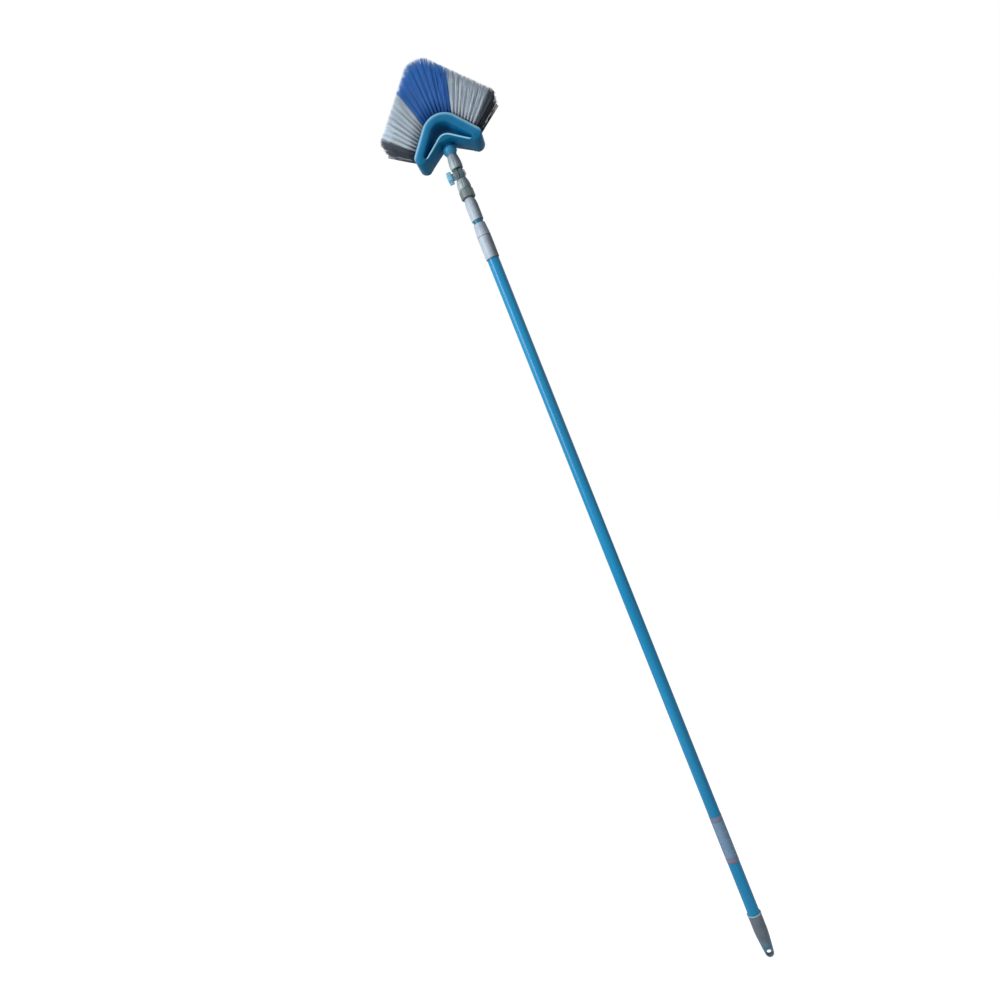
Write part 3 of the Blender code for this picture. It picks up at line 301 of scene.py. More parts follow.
# %% [markdown]
# ## Tools for the finishes
#
# Every finish here starts from one plastic-like shader and adds what a real surface has: patches where the
# colour drifts, a fine skin, softened edges that catch the light and wear on those edges. It also adds
# painted shade where two surfaces meet. All of them are worked out from the piece itself, so nothing slides
# when the view changes.
# Whole-surface values are set straight on the shader.

# %% Open a finish and mix its colours
# a Mix node has sockets for each kind of data; these are the ones for colours
MIX_COLOURS = (6, 7)
MIX_RESULT = 2


def open_finish(name, base, roughness, metallic=0.0, shine=0.5):
    """A new material with its shader set to plain values."""
    made = bpy.data.materials.new(name)
    made.use_nodes = True
    shader = made.node_tree.nodes["Principled BSDF"]
    shader.inputs["Base Color"].default_value = (*base, 1.0)
    shader.inputs["Roughness"].default_value = roughness
    shader.inputs["Metallic"].default_value = metallic
    shader.inputs["Specular IOR Level"].default_value = shine
    return made, made.node_tree, shader


def blend_colour(tree, share, first, second):
    """A colour between two others; each may be a plain colour."""
    mix = tree.nodes.new("ShaderNodeMix")
    mix.data_type = "RGBA"
    tree.links.new(share, mix.inputs[0])
    for place, colour in zip(MIX_COLOURS, (first, second)):
        if isinstance(colour, tuple):
            mix.inputs[place].default_value = (*colour, 1.0)
        else:
            tree.links.new(colour, mix.inputs[place])
    return mix.outputs[MIX_RESULT]


def toned(colour, factor):
    return tuple(min(1.0, part * factor) for part in colour)


def stain(made, mask, colour, strength):
    """Lays one more tone over a finish, where the mask is."""
    tree = made.node_tree
    shader = tree.nodes["Principled BSDF"]
    before = shader.inputs["Base Color"].links[0].from_socket
    laid = blend_colour(tree, combine(tree, "MULTIPLY", mask, strength), before, colour)
    tree.links.new(laid, shader.inputs["Base Color"])


def dress(material, *names):
    """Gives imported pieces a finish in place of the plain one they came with."""
    for name in names:
        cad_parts[name].data.materials.clear()
        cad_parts[name].data.materials.append(material)
    print(material.name, "on", ", ".join(names))


# %% Places, patches and ranges
NOISE_SPAN = (0.3, 0.7)
BAND_CORE = 0.4
EVEN = (1.0, 1.0, 1.0)


def place_on_piece(tree, stretch=EVEN):
    """The place on the piece in metres. A factor under 1 draws patches out along its axis."""
    coordinates = tree.nodes.new("ShaderNodeTexCoord")
    mapping = tree.nodes.new("ShaderNodeMapping")
    mapping.inputs["Scale"].default_value = stretch
    tree.links.new(coordinates.outputs["Object"], mapping.inputs["Vector"])
    return mapping.outputs["Vector"]


def axis_value(tree, axis):
    """One of a place's three coordinates on the piece."""
    split = tree.nodes.new("ShaderNodeSeparateXYZ")
    tree.links.new(place_on_piece(tree), split.inputs[0])
    return split.outputs[axis]


def cloud(tree, size, detail=3.0, stretch=EVEN):
    """Soft random patches, about size across, mostly within NOISE_SPAN."""
    noise = tree.nodes.new("ShaderNodeTexNoise")
    noise.inputs["Scale"].default_value = 1.0 / size
    noise.inputs["Detail"].default_value = detail
    tree.links.new(place_on_piece(tree, stretch), noise.inputs["Vector"])
    return noise.outputs["Fac"]


def remap(tree, value, low, high, to_low=0.0, to_high=1.0):
    """Moves a value from one range to another, with soft ends."""
    mapped = tree.nodes.new("ShaderNodeMapRange")
    mapped.interpolation_type = "SMOOTHSTEP"
    mapped.inputs["From Min"].default_value = low
    mapped.inputs["From Max"].default_value = high
    mapped.inputs["To Min"].default_value = to_low
    mapped.inputs["To Max"].default_value = to_high
    tree.links.new(value, mapped.inputs["Value"])
    return mapped.outputs["Result"]


def fall(tree, value, low, high):
    """1 below the low end of a range, 0 above its high end."""
    return remap(tree, value, low, high, 1.0, 0.0)


def band(tree, value, middle, half_width):
    """1 at a place along a value, falling to 0 at a half width."""
    away = combine(tree, "ABSOLUTE", combine(tree, "SUBTRACT", value, middle))
    return fall(tree, away, half_width * BAND_CORE, half_width)


# %% Edges, corners and skin
EDGE_SAMPLES = 4
EDGE_SPAN = (0.86, 0.995)
CORNER_SPAN = (0.25, 0.85)


def soft_edge(tree, radius):
    """The direction of the surface as if its edges were rounded by a radius."""
    bevel = tree.nodes.new("ShaderNodeBevel")
    bevel.samples = EDGE_SAMPLES
    bevel.inputs["Radius"].default_value = radius
    return bevel.outputs["Normal"]


def near_edge(tree, radius):
    """1 on edges and corners, 0 on open surface."""
    shape = tree.nodes.new("ShaderNodeNewGeometry")
    dot = tree.nodes.new("ShaderNodeVectorMath")
    dot.operation = "DOT_PRODUCT"
    tree.links.new(soft_edge(tree, radius), dot.inputs[0])
    tree.links.new(shape.outputs["Normal"], dot.inputs[1])
    return fall(tree, dot.outputs["Value"], *EDGE_SPAN)


def in_corner(tree, reach):
    """1 deep in a corner or gap, 0 in the open."""
    shade = tree.nodes.new("ShaderNodeAmbientOcclusion")
    shade.samples = EDGE_SAMPLES
    shade.inputs["Distance"].default_value = reach
    return fall(tree, shade.outputs["AO"], *CORNER_SPAN)


def fine_skin(tree, shader, height, depth, strength, normal=None):
    """Bumps of a given depth, over softened edges where these are given."""
    bump = tree.nodes.new("ShaderNodeBump")
    bump.inputs["Strength"].default_value = strength
    bump.inputs["Distance"].default_value = depth
    tree.links.new(height, bump.inputs["Height"])
    if normal is not None:
        tree.links.new(normal, bump.inputs["Normal"])
    tree.links.new(bump.outputs["Normal"], shader.inputs["Normal"])


print("finish tools ready, edges looked up with", EDGE_SAMPLES, "rays")

# %% [markdown]
# ## Moulded plastic
#
# The sleeves, the knuckle, the block and the knob are injection moulded. Up close such plastic is never one
# colour: pigment drifts a little, the skin has a faint grain from the mould, and edges are rubbed lighter.
# Painted shade darkens the corners. One recipe serves all of them, with its own colour and wear for each
# piece. A picture wrapped round each piece could show all that too, but the recipe needs no picture and has
# detail at any distance.
#
# In the photograph the sleeves and the knuckle are also darker down their right side than the light makes
# them. Painted shade laid over the recipe gives that.

# %% Recipe for moulded plastic
PIGMENT_PATCH = 18 * MM
RUBBED_PATCH = 5 * MM
RUBBED_SPAN = (0.35, 0.75)
WORN_EDGE = 1.1 * MM
WORN_PALER = 0.30
CORNER_SHADE_REACH = 5 * MM
CORNER_SHADE_TONE = 0.30
GLOSS_PATCH = 7 * MM
GLOSS_SWING = (-0.07, 0.08)
GRAIN_SIZE = 1.6 * MM
GRAIN_DEPTH = 0.04 * MM
GRAIN_STRENGTH = 0.14


def moulded_plastic(name, base, roughness, drift=0.08, wear=0.35, edge=0.7 * MM, shine=0.5, corner_shade=0.55):
    """Plastic whose pigment drifts, with rubbed edges, painted shade in its corners and the grain of its
    mould.
    """
    made, tree, shader = open_finish(name, base, roughness, shine=shine)
    pigment = remap(tree, cloud(tree, PIGMENT_PATCH, detail=4.0), *NOISE_SPAN)
    colour = blend_colour(tree, pigment, toned(base, 1.0 - drift), toned(base, 1.0 + drift))
    patchy = remap(tree, cloud(tree, RUBBED_PATCH, detail=5.0), *RUBBED_SPAN)
    rubbed = combine(tree, "MULTIPLY", near_edge(tree, WORN_EDGE), patchy)
    pale = tuple(part + (1.0 - part) * WORN_PALER for part in base)
    colour = blend_colour(tree, combine(tree, "MULTIPLY", rubbed, wear), colour, pale)
    # painted shade: corners and gaps, where a place sees little open space, are darkened
    painted_shade = combine(tree, "MULTIPLY", in_corner(tree, CORNER_SHADE_REACH), corner_shade)
    colour = blend_colour(tree, painted_shade, colour, toned(base, CORNER_SHADE_TONE))
    tree.links.new(colour, shader.inputs["Base Color"])
    swing = [roughness + part for part in GLOSS_SWING]
    tree.links.new(remap(tree, cloud(tree, GLOSS_PATCH), *NOISE_SPAN, *swing), shader.inputs["Roughness"])
    grain = cloud(tree, GRAIN_SIZE, detail=2.0)
    fine_skin(tree, shader, grain, GRAIN_DEPTH, GRAIN_STRENGTH, soft_edge(tree, edge))
    return made


# %% Sleeves and nut
SLEEVE_GREY = (0.430, 0.510, 0.605)
SLEEVE_SHADE = (0.060, 0.078, 0.095)
SLEEVE_SHADE_SPAN = (-3 * MM, 13 * MM)


def sleeve_plastic(name, right_shade_strength):
    """Grey plastic with painted shade down its right side. The nut has less of it."""
    made = moulded_plastic(name, SLEEVE_GREY, roughness=0.38, edge=0.8 * MM, shine=0.3, corner_shade=0.7)
    tree = made.node_tree
    # painted shade: the right side, away from the key lamp, is darkened
    right_shade = remap(tree, axis_value(tree, WIDTH), *SLEEVE_SHADE_SPAN)
    stain(made, right_shade, SLEEVE_SHADE, strength=right_shade_strength)
    return made


dress(sleeve_plastic("sleeve_plastic_worn_shaded", right_shade_strength=0.84), "lock_body", "neck_adapter")
dress(sleeve_plastic("sleeve_plastic_nut_shaded", right_shade_strength=0.52), "lock_nut")

# %% Knuckle, ring, knob and hidden plastic
NECK_GREY = (0.330, 0.405, 0.445)
NECK_SHADE_SPAN = (-6 * MM, 8 * MM)
NECK_PAINTED_SHADE = (0.040, 0.092, 0.108)
PIVOT_SHADE_REACH = 15 * MM
BOLT_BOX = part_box("knuckle_bolt")
PIVOT_HEIGHT = (BOLT_BOX[0].z + BOLT_BOX[1].z) / 2
RING_GREY = (0.135, 0.180, 0.188)
KNOB_BLUE = (0.200, 0.500, 0.690)
DARK_POLYMER = (0.022, 0.022, 0.026)

neck_finish = moulded_plastic(
    "neck_plastic_worn_shaded", NECK_GREY, roughness=0.34, wear=0.45, edge=0.8 * MM, corner_shade=0.8
)
neck_tree = neck_finish.node_tree
# painted shade: a dark band round the pivot's barrels, and the right side darker
pivot_shade = band(neck_tree, axis_value(neck_tree, HEIGHT), PIVOT_HEIGHT, PIVOT_SHADE_REACH)
right_shade = remap(neck_tree, axis_value(neck_tree, WIDTH), *NECK_SHADE_SPAN)
stain(neck_finish, pivot_shade, NECK_PAINTED_SHADE, strength=0.8)
stain(neck_finish, right_shade, NECK_PAINTED_SHADE, strength=0.66)
ring_finish = moulded_plastic(
    "neck_plastic_ring", RING_GREY, roughness=0.36, wear=0.5, edge=0.8 * MM, corner_shade=0.8
)
knob_finish = moulded_plastic(
    "knob_plastic_worn", KNOB_BLUE, roughness=0.30, drift=0.05, wear=0.5, edge=1.0 * MM
)
inner_finish = moulded_plastic("inner_plastic_dark", DARK_POLYMER, roughness=0.5, wear=0.1)
dress(neck_finish, "lower_knuckle", "upper_knuckle")
dress(ring_finish, "neck_ring")
dress(knob_finish, "star_knob")
dress(inner_finish, "inner_guide", "lock_collet", "friction_washer")

# %% [markdown]
# ## The end cap
#
# The cap is scuffed more than the rest, because the brush stands on it. Its mouth has a painted highlight, a
# thin pale rim round the pole. Its flattened end has a bluer cast, and round the hanging eye painted shade
# makes it nearly black. The eye's painted shade needs the distance from the eye's middle, which is the root
# of two squares.

# %% End cap
CAP_GREY = (0.124, 0.168, 0.212)
CAP_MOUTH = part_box("end_cap")[1].z
CAP_RIM_HIGHLIGHT = (0.420, 0.600, 0.700)
CAP_RIM_REACH = 2.6 * MM
CAP_FOOT_BLUE = (0.085, 0.225, 0.330)
CAP_FOOT_SPAN = (22 * MM, 48 * MM)
EYE_SHADE = (0.004, 0.028, 0.045)
EYE_HEIGHT = 10.6 * MM
EYE_SPAN = (5.0 * MM, 7.5 * MM)


def distance_from_eye(tree):
    """How far a place is from the middle of the hanging eye, seen from the front."""
    aside = axis_value(tree, WIDTH)
    above = combine(tree, "SUBTRACT", axis_value(tree, HEIGHT), EYE_HEIGHT)
    squares = [combine(tree, "MULTIPLY", side, side) for side in (aside, above)]
    return combine(tree, "SQRT", combine(tree, "ADD", *squares))


cap_finish = moulded_plastic(
    "cap_plastic_scuffed", CAP_GREY, roughness=0.42, drift=0.14, wear=0.6, edge=0.8 * MM, corner_shade=0.7
)
cap_tree = cap_finish.node_tree
cap_height = axis_value(cap_tree, HEIGHT)
stain(cap_finish, fall(cap_tree, cap_height, *CAP_FOOT_SPAN), CAP_FOOT_BLUE, strength=0.8)
# painted highlight: a pale band round the cap's mouth
stain(cap_finish, band(cap_tree, cap_height, CAP_MOUTH, CAP_RIM_REACH), CAP_RIM_HIGHLIGHT, strength=0.8)
# painted shade: nearly black in and round the hanging eye
stain(cap_finish, fall(cap_tree, distance_from_eye(cap_tree), *EYE_SPAN), EYE_SHADE, strength=0.92)
dress(cap_finish, "end_cap")

# %% [markdown]
# ## The block's own finish
#
# The block's outer edge is rounded and catches the light; a painted highlight, a pale rim, stands for that.
# Below the rim its face turns inwards, and painted shade darkens it. Both follow from how far a place lies
# below the outer face, which is a round crown that runs out into two straight slopes. The inner wall of the
# window is painted a deep teal as shade, with no gloss. It is found by how little open space a place sees
# around it.

# %% Arched block
HEAD_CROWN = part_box("head_block")[1].z
ARCH_RADIUS = 46.0 * MM
ARCH_SLOPE = math.radians(51.0)
ARCH_CENTRE = HEAD_CROWN - ARCH_RADIUS
HEAD_BLUE = (0.014, 0.172, 0.372)
HEAD_SHINE = 0.15
RIM_HIGHLIGHT_BLUE = (0.300, 0.600, 0.760)
RIM_SPAN = (1.0 * MM, 7.5 * MM)
INWARD_SHADE_TEAL = (0.003, 0.118, 0.235)
INWARD_SPAN = (6 * MM, 19 * MM)
HOLLOW_SHADE_TEAL = (0.003, 0.150, 0.370)
HOLLOW_REACH = 45 * MM
HOLLOW_DULL = 0.6
COLLAR_BLUE = (0.034, 0.245, 0.450)


def depth_in_arch(tree):
    """How far a place lies below the block's outer face."""
    side = combine(tree, "ABSOLUTE", axis_value(tree, WIDTH))
    height = combine(tree, "SUBTRACT", axis_value(tree, HEIGHT), ARCH_CENTRE)
    turn = combine(tree, "MINIMUM", combine(tree, "ARCTAN2", side, height), ARCH_SLOPE)
    across = combine(tree, "MULTIPLY", side, combine(tree, "SINE", turn))
    upward = combine(tree, "MULTIPLY", height, combine(tree, "COSINE", turn))
    return combine(tree, "SUBTRACT", ARCH_RADIUS, combine(tree, "ADD", across, upward))


head_finish = moulded_plastic(
    "head_plastic_worn_lit_shaded", HEAD_BLUE, roughness=0.44, drift=0.06, wear=0.2, edge=5.0 * MM, shine=HEAD_SHINE
)
head_tree = head_finish.node_tree
head_shader = head_tree.nodes["Principled BSDF"]
below_face = depth_in_arch(head_tree)
hollow = in_corner(head_tree, HOLLOW_REACH)
# painted shade on the face as it turns inwards, a painted highlight along the outer rim, and painted shade in
# the window
stain(head_finish, remap(head_tree, below_face, *INWARD_SPAN), INWARD_SHADE_TEAL, strength=0.85)
stain(head_finish, fall(head_tree, below_face, *RIM_SPAN), RIM_HIGHLIGHT_BLUE, strength=0.9)
stain(head_finish, hollow, HOLLOW_SHADE_TEAL, strength=0.9)
head_gloss = remap(head_tree, hollow, 0.0, HOLLOW_DULL, HEAD_SHINE, 0.0)
head_tree.links.new(head_gloss, head_shader.inputs["Specular IOR Level"])
dress(head_finish, "head_block")
collar_finish = moulded_plastic(
    "head_plastic_collar", COLLAR_BLUE, roughness=0.36, edge=1.0 * MM, shine=0.4, corner_shade=0.3
)
dress(collar_finish, "head_collar")

# %% [markdown]
# ## Painted tube
#
# The pole is thin steel tube with a baked blue paint, drawn through a coating head, so its colour wavers
# along the pole and the gloss has a slight orange-peel skin. Hands and the twist lock leave fine pale scuffs
# along it. Painted shade darkens the outer tube right under the sleeve, and the inner tube under the neck
# adapter. Noise that is stretched along Z gives the wavering and the scuffs. The scuffs' noise is cut off
# high, which leaves only a few fine lines.

# %% Pole paint
POLE_BLUE = (0.010, 0.255, 0.510)
POLE_DRIFT = 0.10
WAVER_PATCH = 14 * MM
WAVER_STRETCH = (1.0, 1.0, 0.05)
SCUFF_PALE = (0.20, 0.42, 0.58)
SCUFF_PATCH = 1.6 * MM
SCUFF_STRETCH = (1.0, 1.0, 0.06)
SCUFF_SPAN = (0.66, 0.74)
SCUFF_STRENGTH = 0.35
HANDLED_PATCH = 160 * MM
HANDLED_SPAN = (0.42, 0.62)
BAND_SHADE_STRENGTH = 0.6
PAINT_ROUGHNESS = (0.20, 0.32)
PEEL_PATCH = 2.4 * MM
PEEL_STRETCH = (1.0, 1.0, 0.5)
PEEL_DEPTH = 0.03 * MM
PEEL_STRENGTH = 0.12


def painted_tube(name, shade_height, shade_reach, shade_tone):
    made, tree, shader = open_finish(name, POLE_BLUE, roughness=0.26, shine=0.32)
    waver = cloud(tree, WAVER_PATCH, stretch=WAVER_STRETCH)
    darker, lighter = toned(POLE_BLUE, 1.0 - POLE_DRIFT), toned(POLE_BLUE, 1.0 + POLE_DRIFT)
    colour = blend_colour(tree, remap(tree, waver, *NOISE_SPAN), darker, lighter)
    scratches = remap(tree, cloud(tree, SCUFF_PATCH, detail=4.0, stretch=SCUFF_STRETCH), *SCUFF_SPAN)
    handled = remap(tree, cloud(tree, HANDLED_PATCH, detail=2.0), *HANDLED_SPAN)
    scuffs = combine(tree, "MULTIPLY", combine(tree, "MULTIPLY", scratches, handled), SCUFF_STRENGTH)
    colour = blend_colour(tree, scuffs, colour, SCUFF_PALE)
    tree.links.new(colour, shader.inputs["Base Color"])
    # painted shade: a dark band at one height on the tube
    painted_shade = band(tree, axis_value(tree, HEIGHT), shade_height, shade_reach)
    stain(made, painted_shade, shade_tone, strength=BAND_SHADE_STRENGTH)
    tree.links.new(remap(tree, waver, *NOISE_SPAN, *PAINT_ROUGHNESS), shader.inputs["Roughness"])
    peel = cloud(tree, PEEL_PATCH, detail=2.0, stretch=PEEL_STRETCH)
    fine_skin(tree, shader, peel, PEEL_DEPTH, PEEL_STRENGTH)
    return made


# %% Outer and inner tube
SLEEVE_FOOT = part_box("lock_body")[0].z
SLEEVE_FOOT_SHADE = toned(POLE_BLUE, 0.25)
SLEEVE_FOOT_SHADE_REACH = 5 * MM
ADAPTER_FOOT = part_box("neck_adapter")[0].z
ADAPTER_SHADE = (0.022, 0.080, 0.095)
ADAPTER_SHADE_DROP = 4 * MM
ADAPTER_SHADE_REACH = 9 * MM

# painted shade under the sleeve on the outer tube, and under the neck adapter on the inner tube
outer_paint = painted_tube("pole_paint_handled", SLEEVE_FOOT, SLEEVE_FOOT_SHADE_REACH, SLEEVE_FOOT_SHADE)
inner_paint = painted_tube(
    "pole_paint_inner", ADAPTER_FOOT - ADAPTER_SHADE_DROP, ADAPTER_SHADE_REACH, ADAPTER_SHADE
)
dress(outer_paint, "outer_tube")
dress(inner_paint, "inner_tube")

# %% [markdown]
# ## Metal parts
#
# The bolt, the washer and the swivel's stem are zinc-plated steel, and the insert in the knob is brass.
# Little of them shows, but what shows is metal with turning marks, so each gets rings of fine bump round
# its own axis. The rings come from noise that is drawn out across the two other axes.

# %% Steel and brass
STEEL_GREY = (0.58, 0.585, 0.59)
BRASS_YELLOW = (0.70, 0.50, 0.20)
METAL_PATCH = 4 * MM
METAL_TONES = (0.86, 1.05)
METAL_SWING = (-0.08, 0.10)
METAL_EDGE = 0.4 * MM
TURNED_PATCH = 0.8 * MM
TURNED_DEPTH = 0.02 * MM
TURNED_STRENGTH = 0.3
ROUND_X = (1.0, 0.15, 0.15)
ROUND_Z = (0.15, 0.15, 1.0)


def turned_metal(name, base, roughness, stretch):
    made, tree, shader = open_finish(name, base, roughness, metallic=1.0)
    marks = cloud(tree, TURNED_PATCH, stretch=stretch)
    patches = remap(tree, cloud(tree, METAL_PATCH), *NOISE_SPAN)
    tone = blend_colour(tree, patches, *(toned(base, factor) for factor in METAL_TONES))
    tree.links.new(tone, shader.inputs["Base Color"])
    swing = [roughness + part for part in METAL_SWING]
    tree.links.new(remap(tree, marks, *NOISE_SPAN, *swing), shader.inputs["Roughness"])
    fine_skin(tree, shader, marks, TURNED_DEPTH, TURNED_STRENGTH, soft_edge(tree, METAL_EDGE))
    return made


zinc_finish = turned_metal("steel_zinc_plated", STEEL_GREY, roughness=0.30, stretch=ROUND_X)
stem_finish = turned_metal("steel_turned_stem", STEEL_GREY, roughness=0.28, stretch=ROUND_Z)
brass_finish = turned_metal("brass_turned", BRASS_YELLOW, roughness=0.33, stretch=ROUND_X)
dress(zinc_finish, "knuckle_bolt", "knob_washer")
dress(stem_finish, "swivel_stem")
dress(brass_finish, "knob_insert")

# %% [markdown]
# ## The lip along the strap
#
# In the photograph a pale line runs along the strap's upper edge, from one corner of the window over the
# crown to the other. It is a rounded lip that catches the light, and its pale colour is a painted highlight.
# Its path is found on the block itself: rays are dropped from the middle of the window, and where they land
# the lip's round section is placed, half sunk. The back edge has the same lip.

# %% Where the lip runs
LIP_HALF_SPAN = 53.0 * MM
LIP_STEPS = 64
LIP_LIFT = 0.6 * MM
LIP_INSET = 1.6 * MM
STRAP_HALF_DEPTH = 26.5 * MM
WINDOW_DROP = 31.3 * MM
WINDOW_MIDDLE = HEAD_CROWN - WINDOW_DROP
WINDOW_FALL = 0.75
DOWN = Vector((0.0, 0.0, -1.0))


def lip_path(side):
    """Points along one upper edge of the strap, where rays land on it from above."""
    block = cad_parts["head_block"]
    places = [block.matrix_world @ vertex.co for vertex in block.data.vertices]
    tree = BVHTree.FromPolygons(places, [face.vertices for face in block.data.polygons])
    path = []
    for step in range(LIP_STEPS + 1):
        x = LIP_HALF_SPAN * (2.0 * step / LIP_STEPS - 1.0)
        start = Vector((x, side * (STRAP_HALF_DEPTH - LIP_INSET), WINDOW_MIDDLE - WINDOW_FALL * abs(x)))
        place, facing, _, _ = tree.ray_cast(start, DOWN)
        if facing is not None and facing.z > 0.0:
            path.append(place - LIP_LIFT * DOWN)
    return path


# %% Lip on the strap's edges
LIP_SIDES = 10
LIP_RADIUS = 2.1 * MM
LIP_END_SHARE = 0.35
LIP_END_GROWTH = 0.3
LIP_HIGHLIGHT_BLUE = (0.270, 0.600, 0.800)
BACKWARDS = Vector((0.0, 1.0, 0.0))


def mesh_piece(name, points, faces, finish, smooth=True):
    """A mesh object with one finish, in the scene but not yet on a body."""
    mesh = bpy.data.meshes.new(name)
    mesh.from_pydata(points, [], faces)
    mesh.update()
    mesh.polygons.foreach_set("use_smooth", [smooth] * len(faces))
    mesh.materials.append(finish)
    return add_object(name, mesh)


def strap_lip(name, side):
    path = lip_path(side)
    last = len(path) - 1
    points, faces = [], []
    for i, place in enumerate(path):
        ahead = (path[min(i + 1, last)] - path[max(i - 1, 0)]).normalized()
        outward = Vector((-ahead.z, 0.0, ahead.x))
        radius = LIP_RADIUS * min(1.0, LIP_END_SHARE + LIP_END_GROWTH * min(i, last - i))
        for k in range(LIP_SIDES):
            turn = 2.0 * math.pi * k / LIP_SIDES
            points.append(place + radius * (math.cos(turn) * outward + math.sin(turn) * BACKWARDS))
    for i in range(last):
        for k in range(LIP_SIDES):
            here, there = LIP_SIDES * i + k, LIP_SIDES * i + (k + 1) % LIP_SIDES
            faces.append((here, there, there + LIP_SIDES, here + LIP_SIDES))
    faces.append(tuple(reversed(range(LIP_SIDES))))
    faces.append(tuple(range(LIP_SIDES * last, LIP_SIDES * len(path))))
    lip = mesh_piece(name, points, faces, lip_finish)
    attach(lip, "head")
    print(name, "over", len(path), "places")


# the lip's pale blue is a painted highlight
lip_finish = moulded_plastic(
    "head_plastic_lip", LIP_HIGHLIGHT_BLUE, roughness=0.26, drift=0.05, wear=0.5, edge=0.5 * MM, corner_shade=0.2
)
strap_lip("strap_lip_front", -1)
strap_lip("strap_lip_back", 1)

# %% [markdown]
# ## Where the bristles stand
#
# The block's outer face is a round crown that runs out into two straight slopes. A place on it is given by
# a run, the distance along the face from the crown, so tufts can be spaced evenly along the face as the
# drill that bored it did. These sizes are the frame's own, because the tufts have to sit in its pocket.
#
# Shears trim all bristles to one roof outline. It is held as five flat cuts on each side, each by one point
# on it and the direction it faces, so how long a strand may be is one short sum.

# %% The arch and the trimmed outline
CROWN_RISE = 21.3 * MM
HEAD_ORIGIN = HEAD_CROWN - CROWN_RISE
ROUND_RUN = ARCH_RADIUS * ARCH_SLOPE
LAST_TUFT_RUN = 89.65 * MM
TRIM_CROWN = CAD_BOX[1][2] - HEAD_ORIGIN - 0.2 * MM
TRIM_SIDE = CAD_BOX[1][0] - 0.3 * MM
# each cut: a point on it, as x and height over the head's origin, and its lean in degrees
TRIM_CUTS = (
    (138.8 * MM, 0.0, 48.5),
    (0.0, TRIM_CROWN, 7.0),
    (19.2 * MM, TRIM_CROWN - 3.9 * MM, 27.8),
    (TRIM_SIDE, 0.0, 90.0),
    (TRIM_SIDE - 1.2 * MM, 12.9 * MM, 69.0),
)
ALONG_CUT = 1e-6


def arch_point(run, depth=0.0):
    """A point at a run along the block's outer face, below the face by a depth."""
    turn = min(abs(run) / ARCH_RADIUS, ARCH_SLOPE)
    past = max(0.0, abs(run) - ROUND_RUN)
    radius = ARCH_RADIUS - depth
    x = radius * math.sin(turn) + past * math.cos(ARCH_SLOPE)
    z = ARCH_CENTRE + radius * math.cos(turn) - past * math.sin(ARCH_SLOPE)
    return np.array((math.copysign(x, run), 0.0, z))


def trim_planes():
    """The cuts that shape the roof outline, each as a direction and a point, on both sides."""
    planes = []
    for side in (-1.0, 1.0):
        for x, height, lean in TRIM_CUTS:
            turn = math.radians(lean)
            normal = np.array((side * math.sin(turn), 0.0, math.cos(turn)))
            planes.append((normal, np.array((side * x, 0.0, HEAD_ORIGIN + height))))
    return planes


TRIM_PLANES = trim_planes()


def trimmed_length(foot, way):
    """How long a strand may be before the shears cut it."""
    ahead = [(normal.dot(edge - foot), normal.dot(way)) for normal, edge in TRIM_PLANES]
    return min(distance / speed for distance, speed in ahead if speed > ALONG_CUT)


crown_length = trimmed_length(arch_point(0.0), np.array((0.0, 0.0, 1.0)))
print("bristles at the crown:", round(crown_length / MM, 1), "mm long")

# %% [markdown]
# ## Rows of tufts
#
# The rows are staggered, as in real brushes: each second row is shifted by half a pitch, so that a tuft
# stands behind every gap and nobody can look straight through. The middle columns are blue and the rest are
# grey.

# %% Where each tuft stands
TUFT_COLUMNS = 28
BLUE_COLUMNS = 10
TUFT_ROWS = 7
LAST_ROW = 22.4 * MM
TUFT_PITCH = 2 * LAST_TUFT_RUN / (TUFT_COLUMNS - 1)
BORDER_SHIFT = 0.25
BLUE_HALF_RUN = (BLUE_COLUMNS / 2 - BORDER_SHIFT) * TUFT_PITCH
ROW_PLACES = [LAST_ROW * (2.0 * row / (TUFT_ROWS - 1) - 1.0) for row in range(TUFT_ROWS)]


def row_runs(row):
    """The runs of one row's tufts. A shifted row has one tuft less."""
    shifted = row % 2
    count = TUFT_COLUMNS - shifted
    end = LAST_TUFT_RUN - shifted * TUFT_PITCH / 2
    return [end * (2.0 * column / (count - 1) - 1.0) for column in range(count)]


TUFT_COUNT = sum(len(row_runs(row)) for row in range(TUFT_ROWS))
print("tufts:", TUFT_COUNT, "pitch", round(TUFT_PITCH / MM, 2), "mm")

# %% [markdown]
# ## The drilled bed
#
# A brush block is drilled, and a bundle of bristles is stapled into each hole. Between the bundles the
# block's own blue shows, with the dark holes in it. The bed is a thin curved plate in the block's pocket,
# made of one strip for each row. A strip is built cell by cell: each cell is a rectangle of the face with a
# round hole in it, and shares the points of its borders with its neighbours.

# %% Bed with its holes
BED_END_MARGIN = 3.5 * MM
BED_HALF_DEPTH = 25.7 * MM
BED_THICKNESS = 2.0 * MM
HOLE_RADIUS = 2.4 * MM
HOLE_DEPTH = 0.9 * MM
CELL_SIDE = ((0, 0), (1, 0), (2, 0), (3, 0), (3, 1), (3, 2), (3, 3), (2, 3), (1, 3), (0, 3), (0, 2), (0, 1))


def cell_lines(middles, end):
    """The borders between cells: half-way between neighbours, and at both ends."""
    inner = [(low + high) / 2 for low, high in zip(middles, middles[1:])]
    return [-end, *inner, end]


ROW_LINES = cell_lines(ROW_PLACES, BED_HALF_DEPTH)


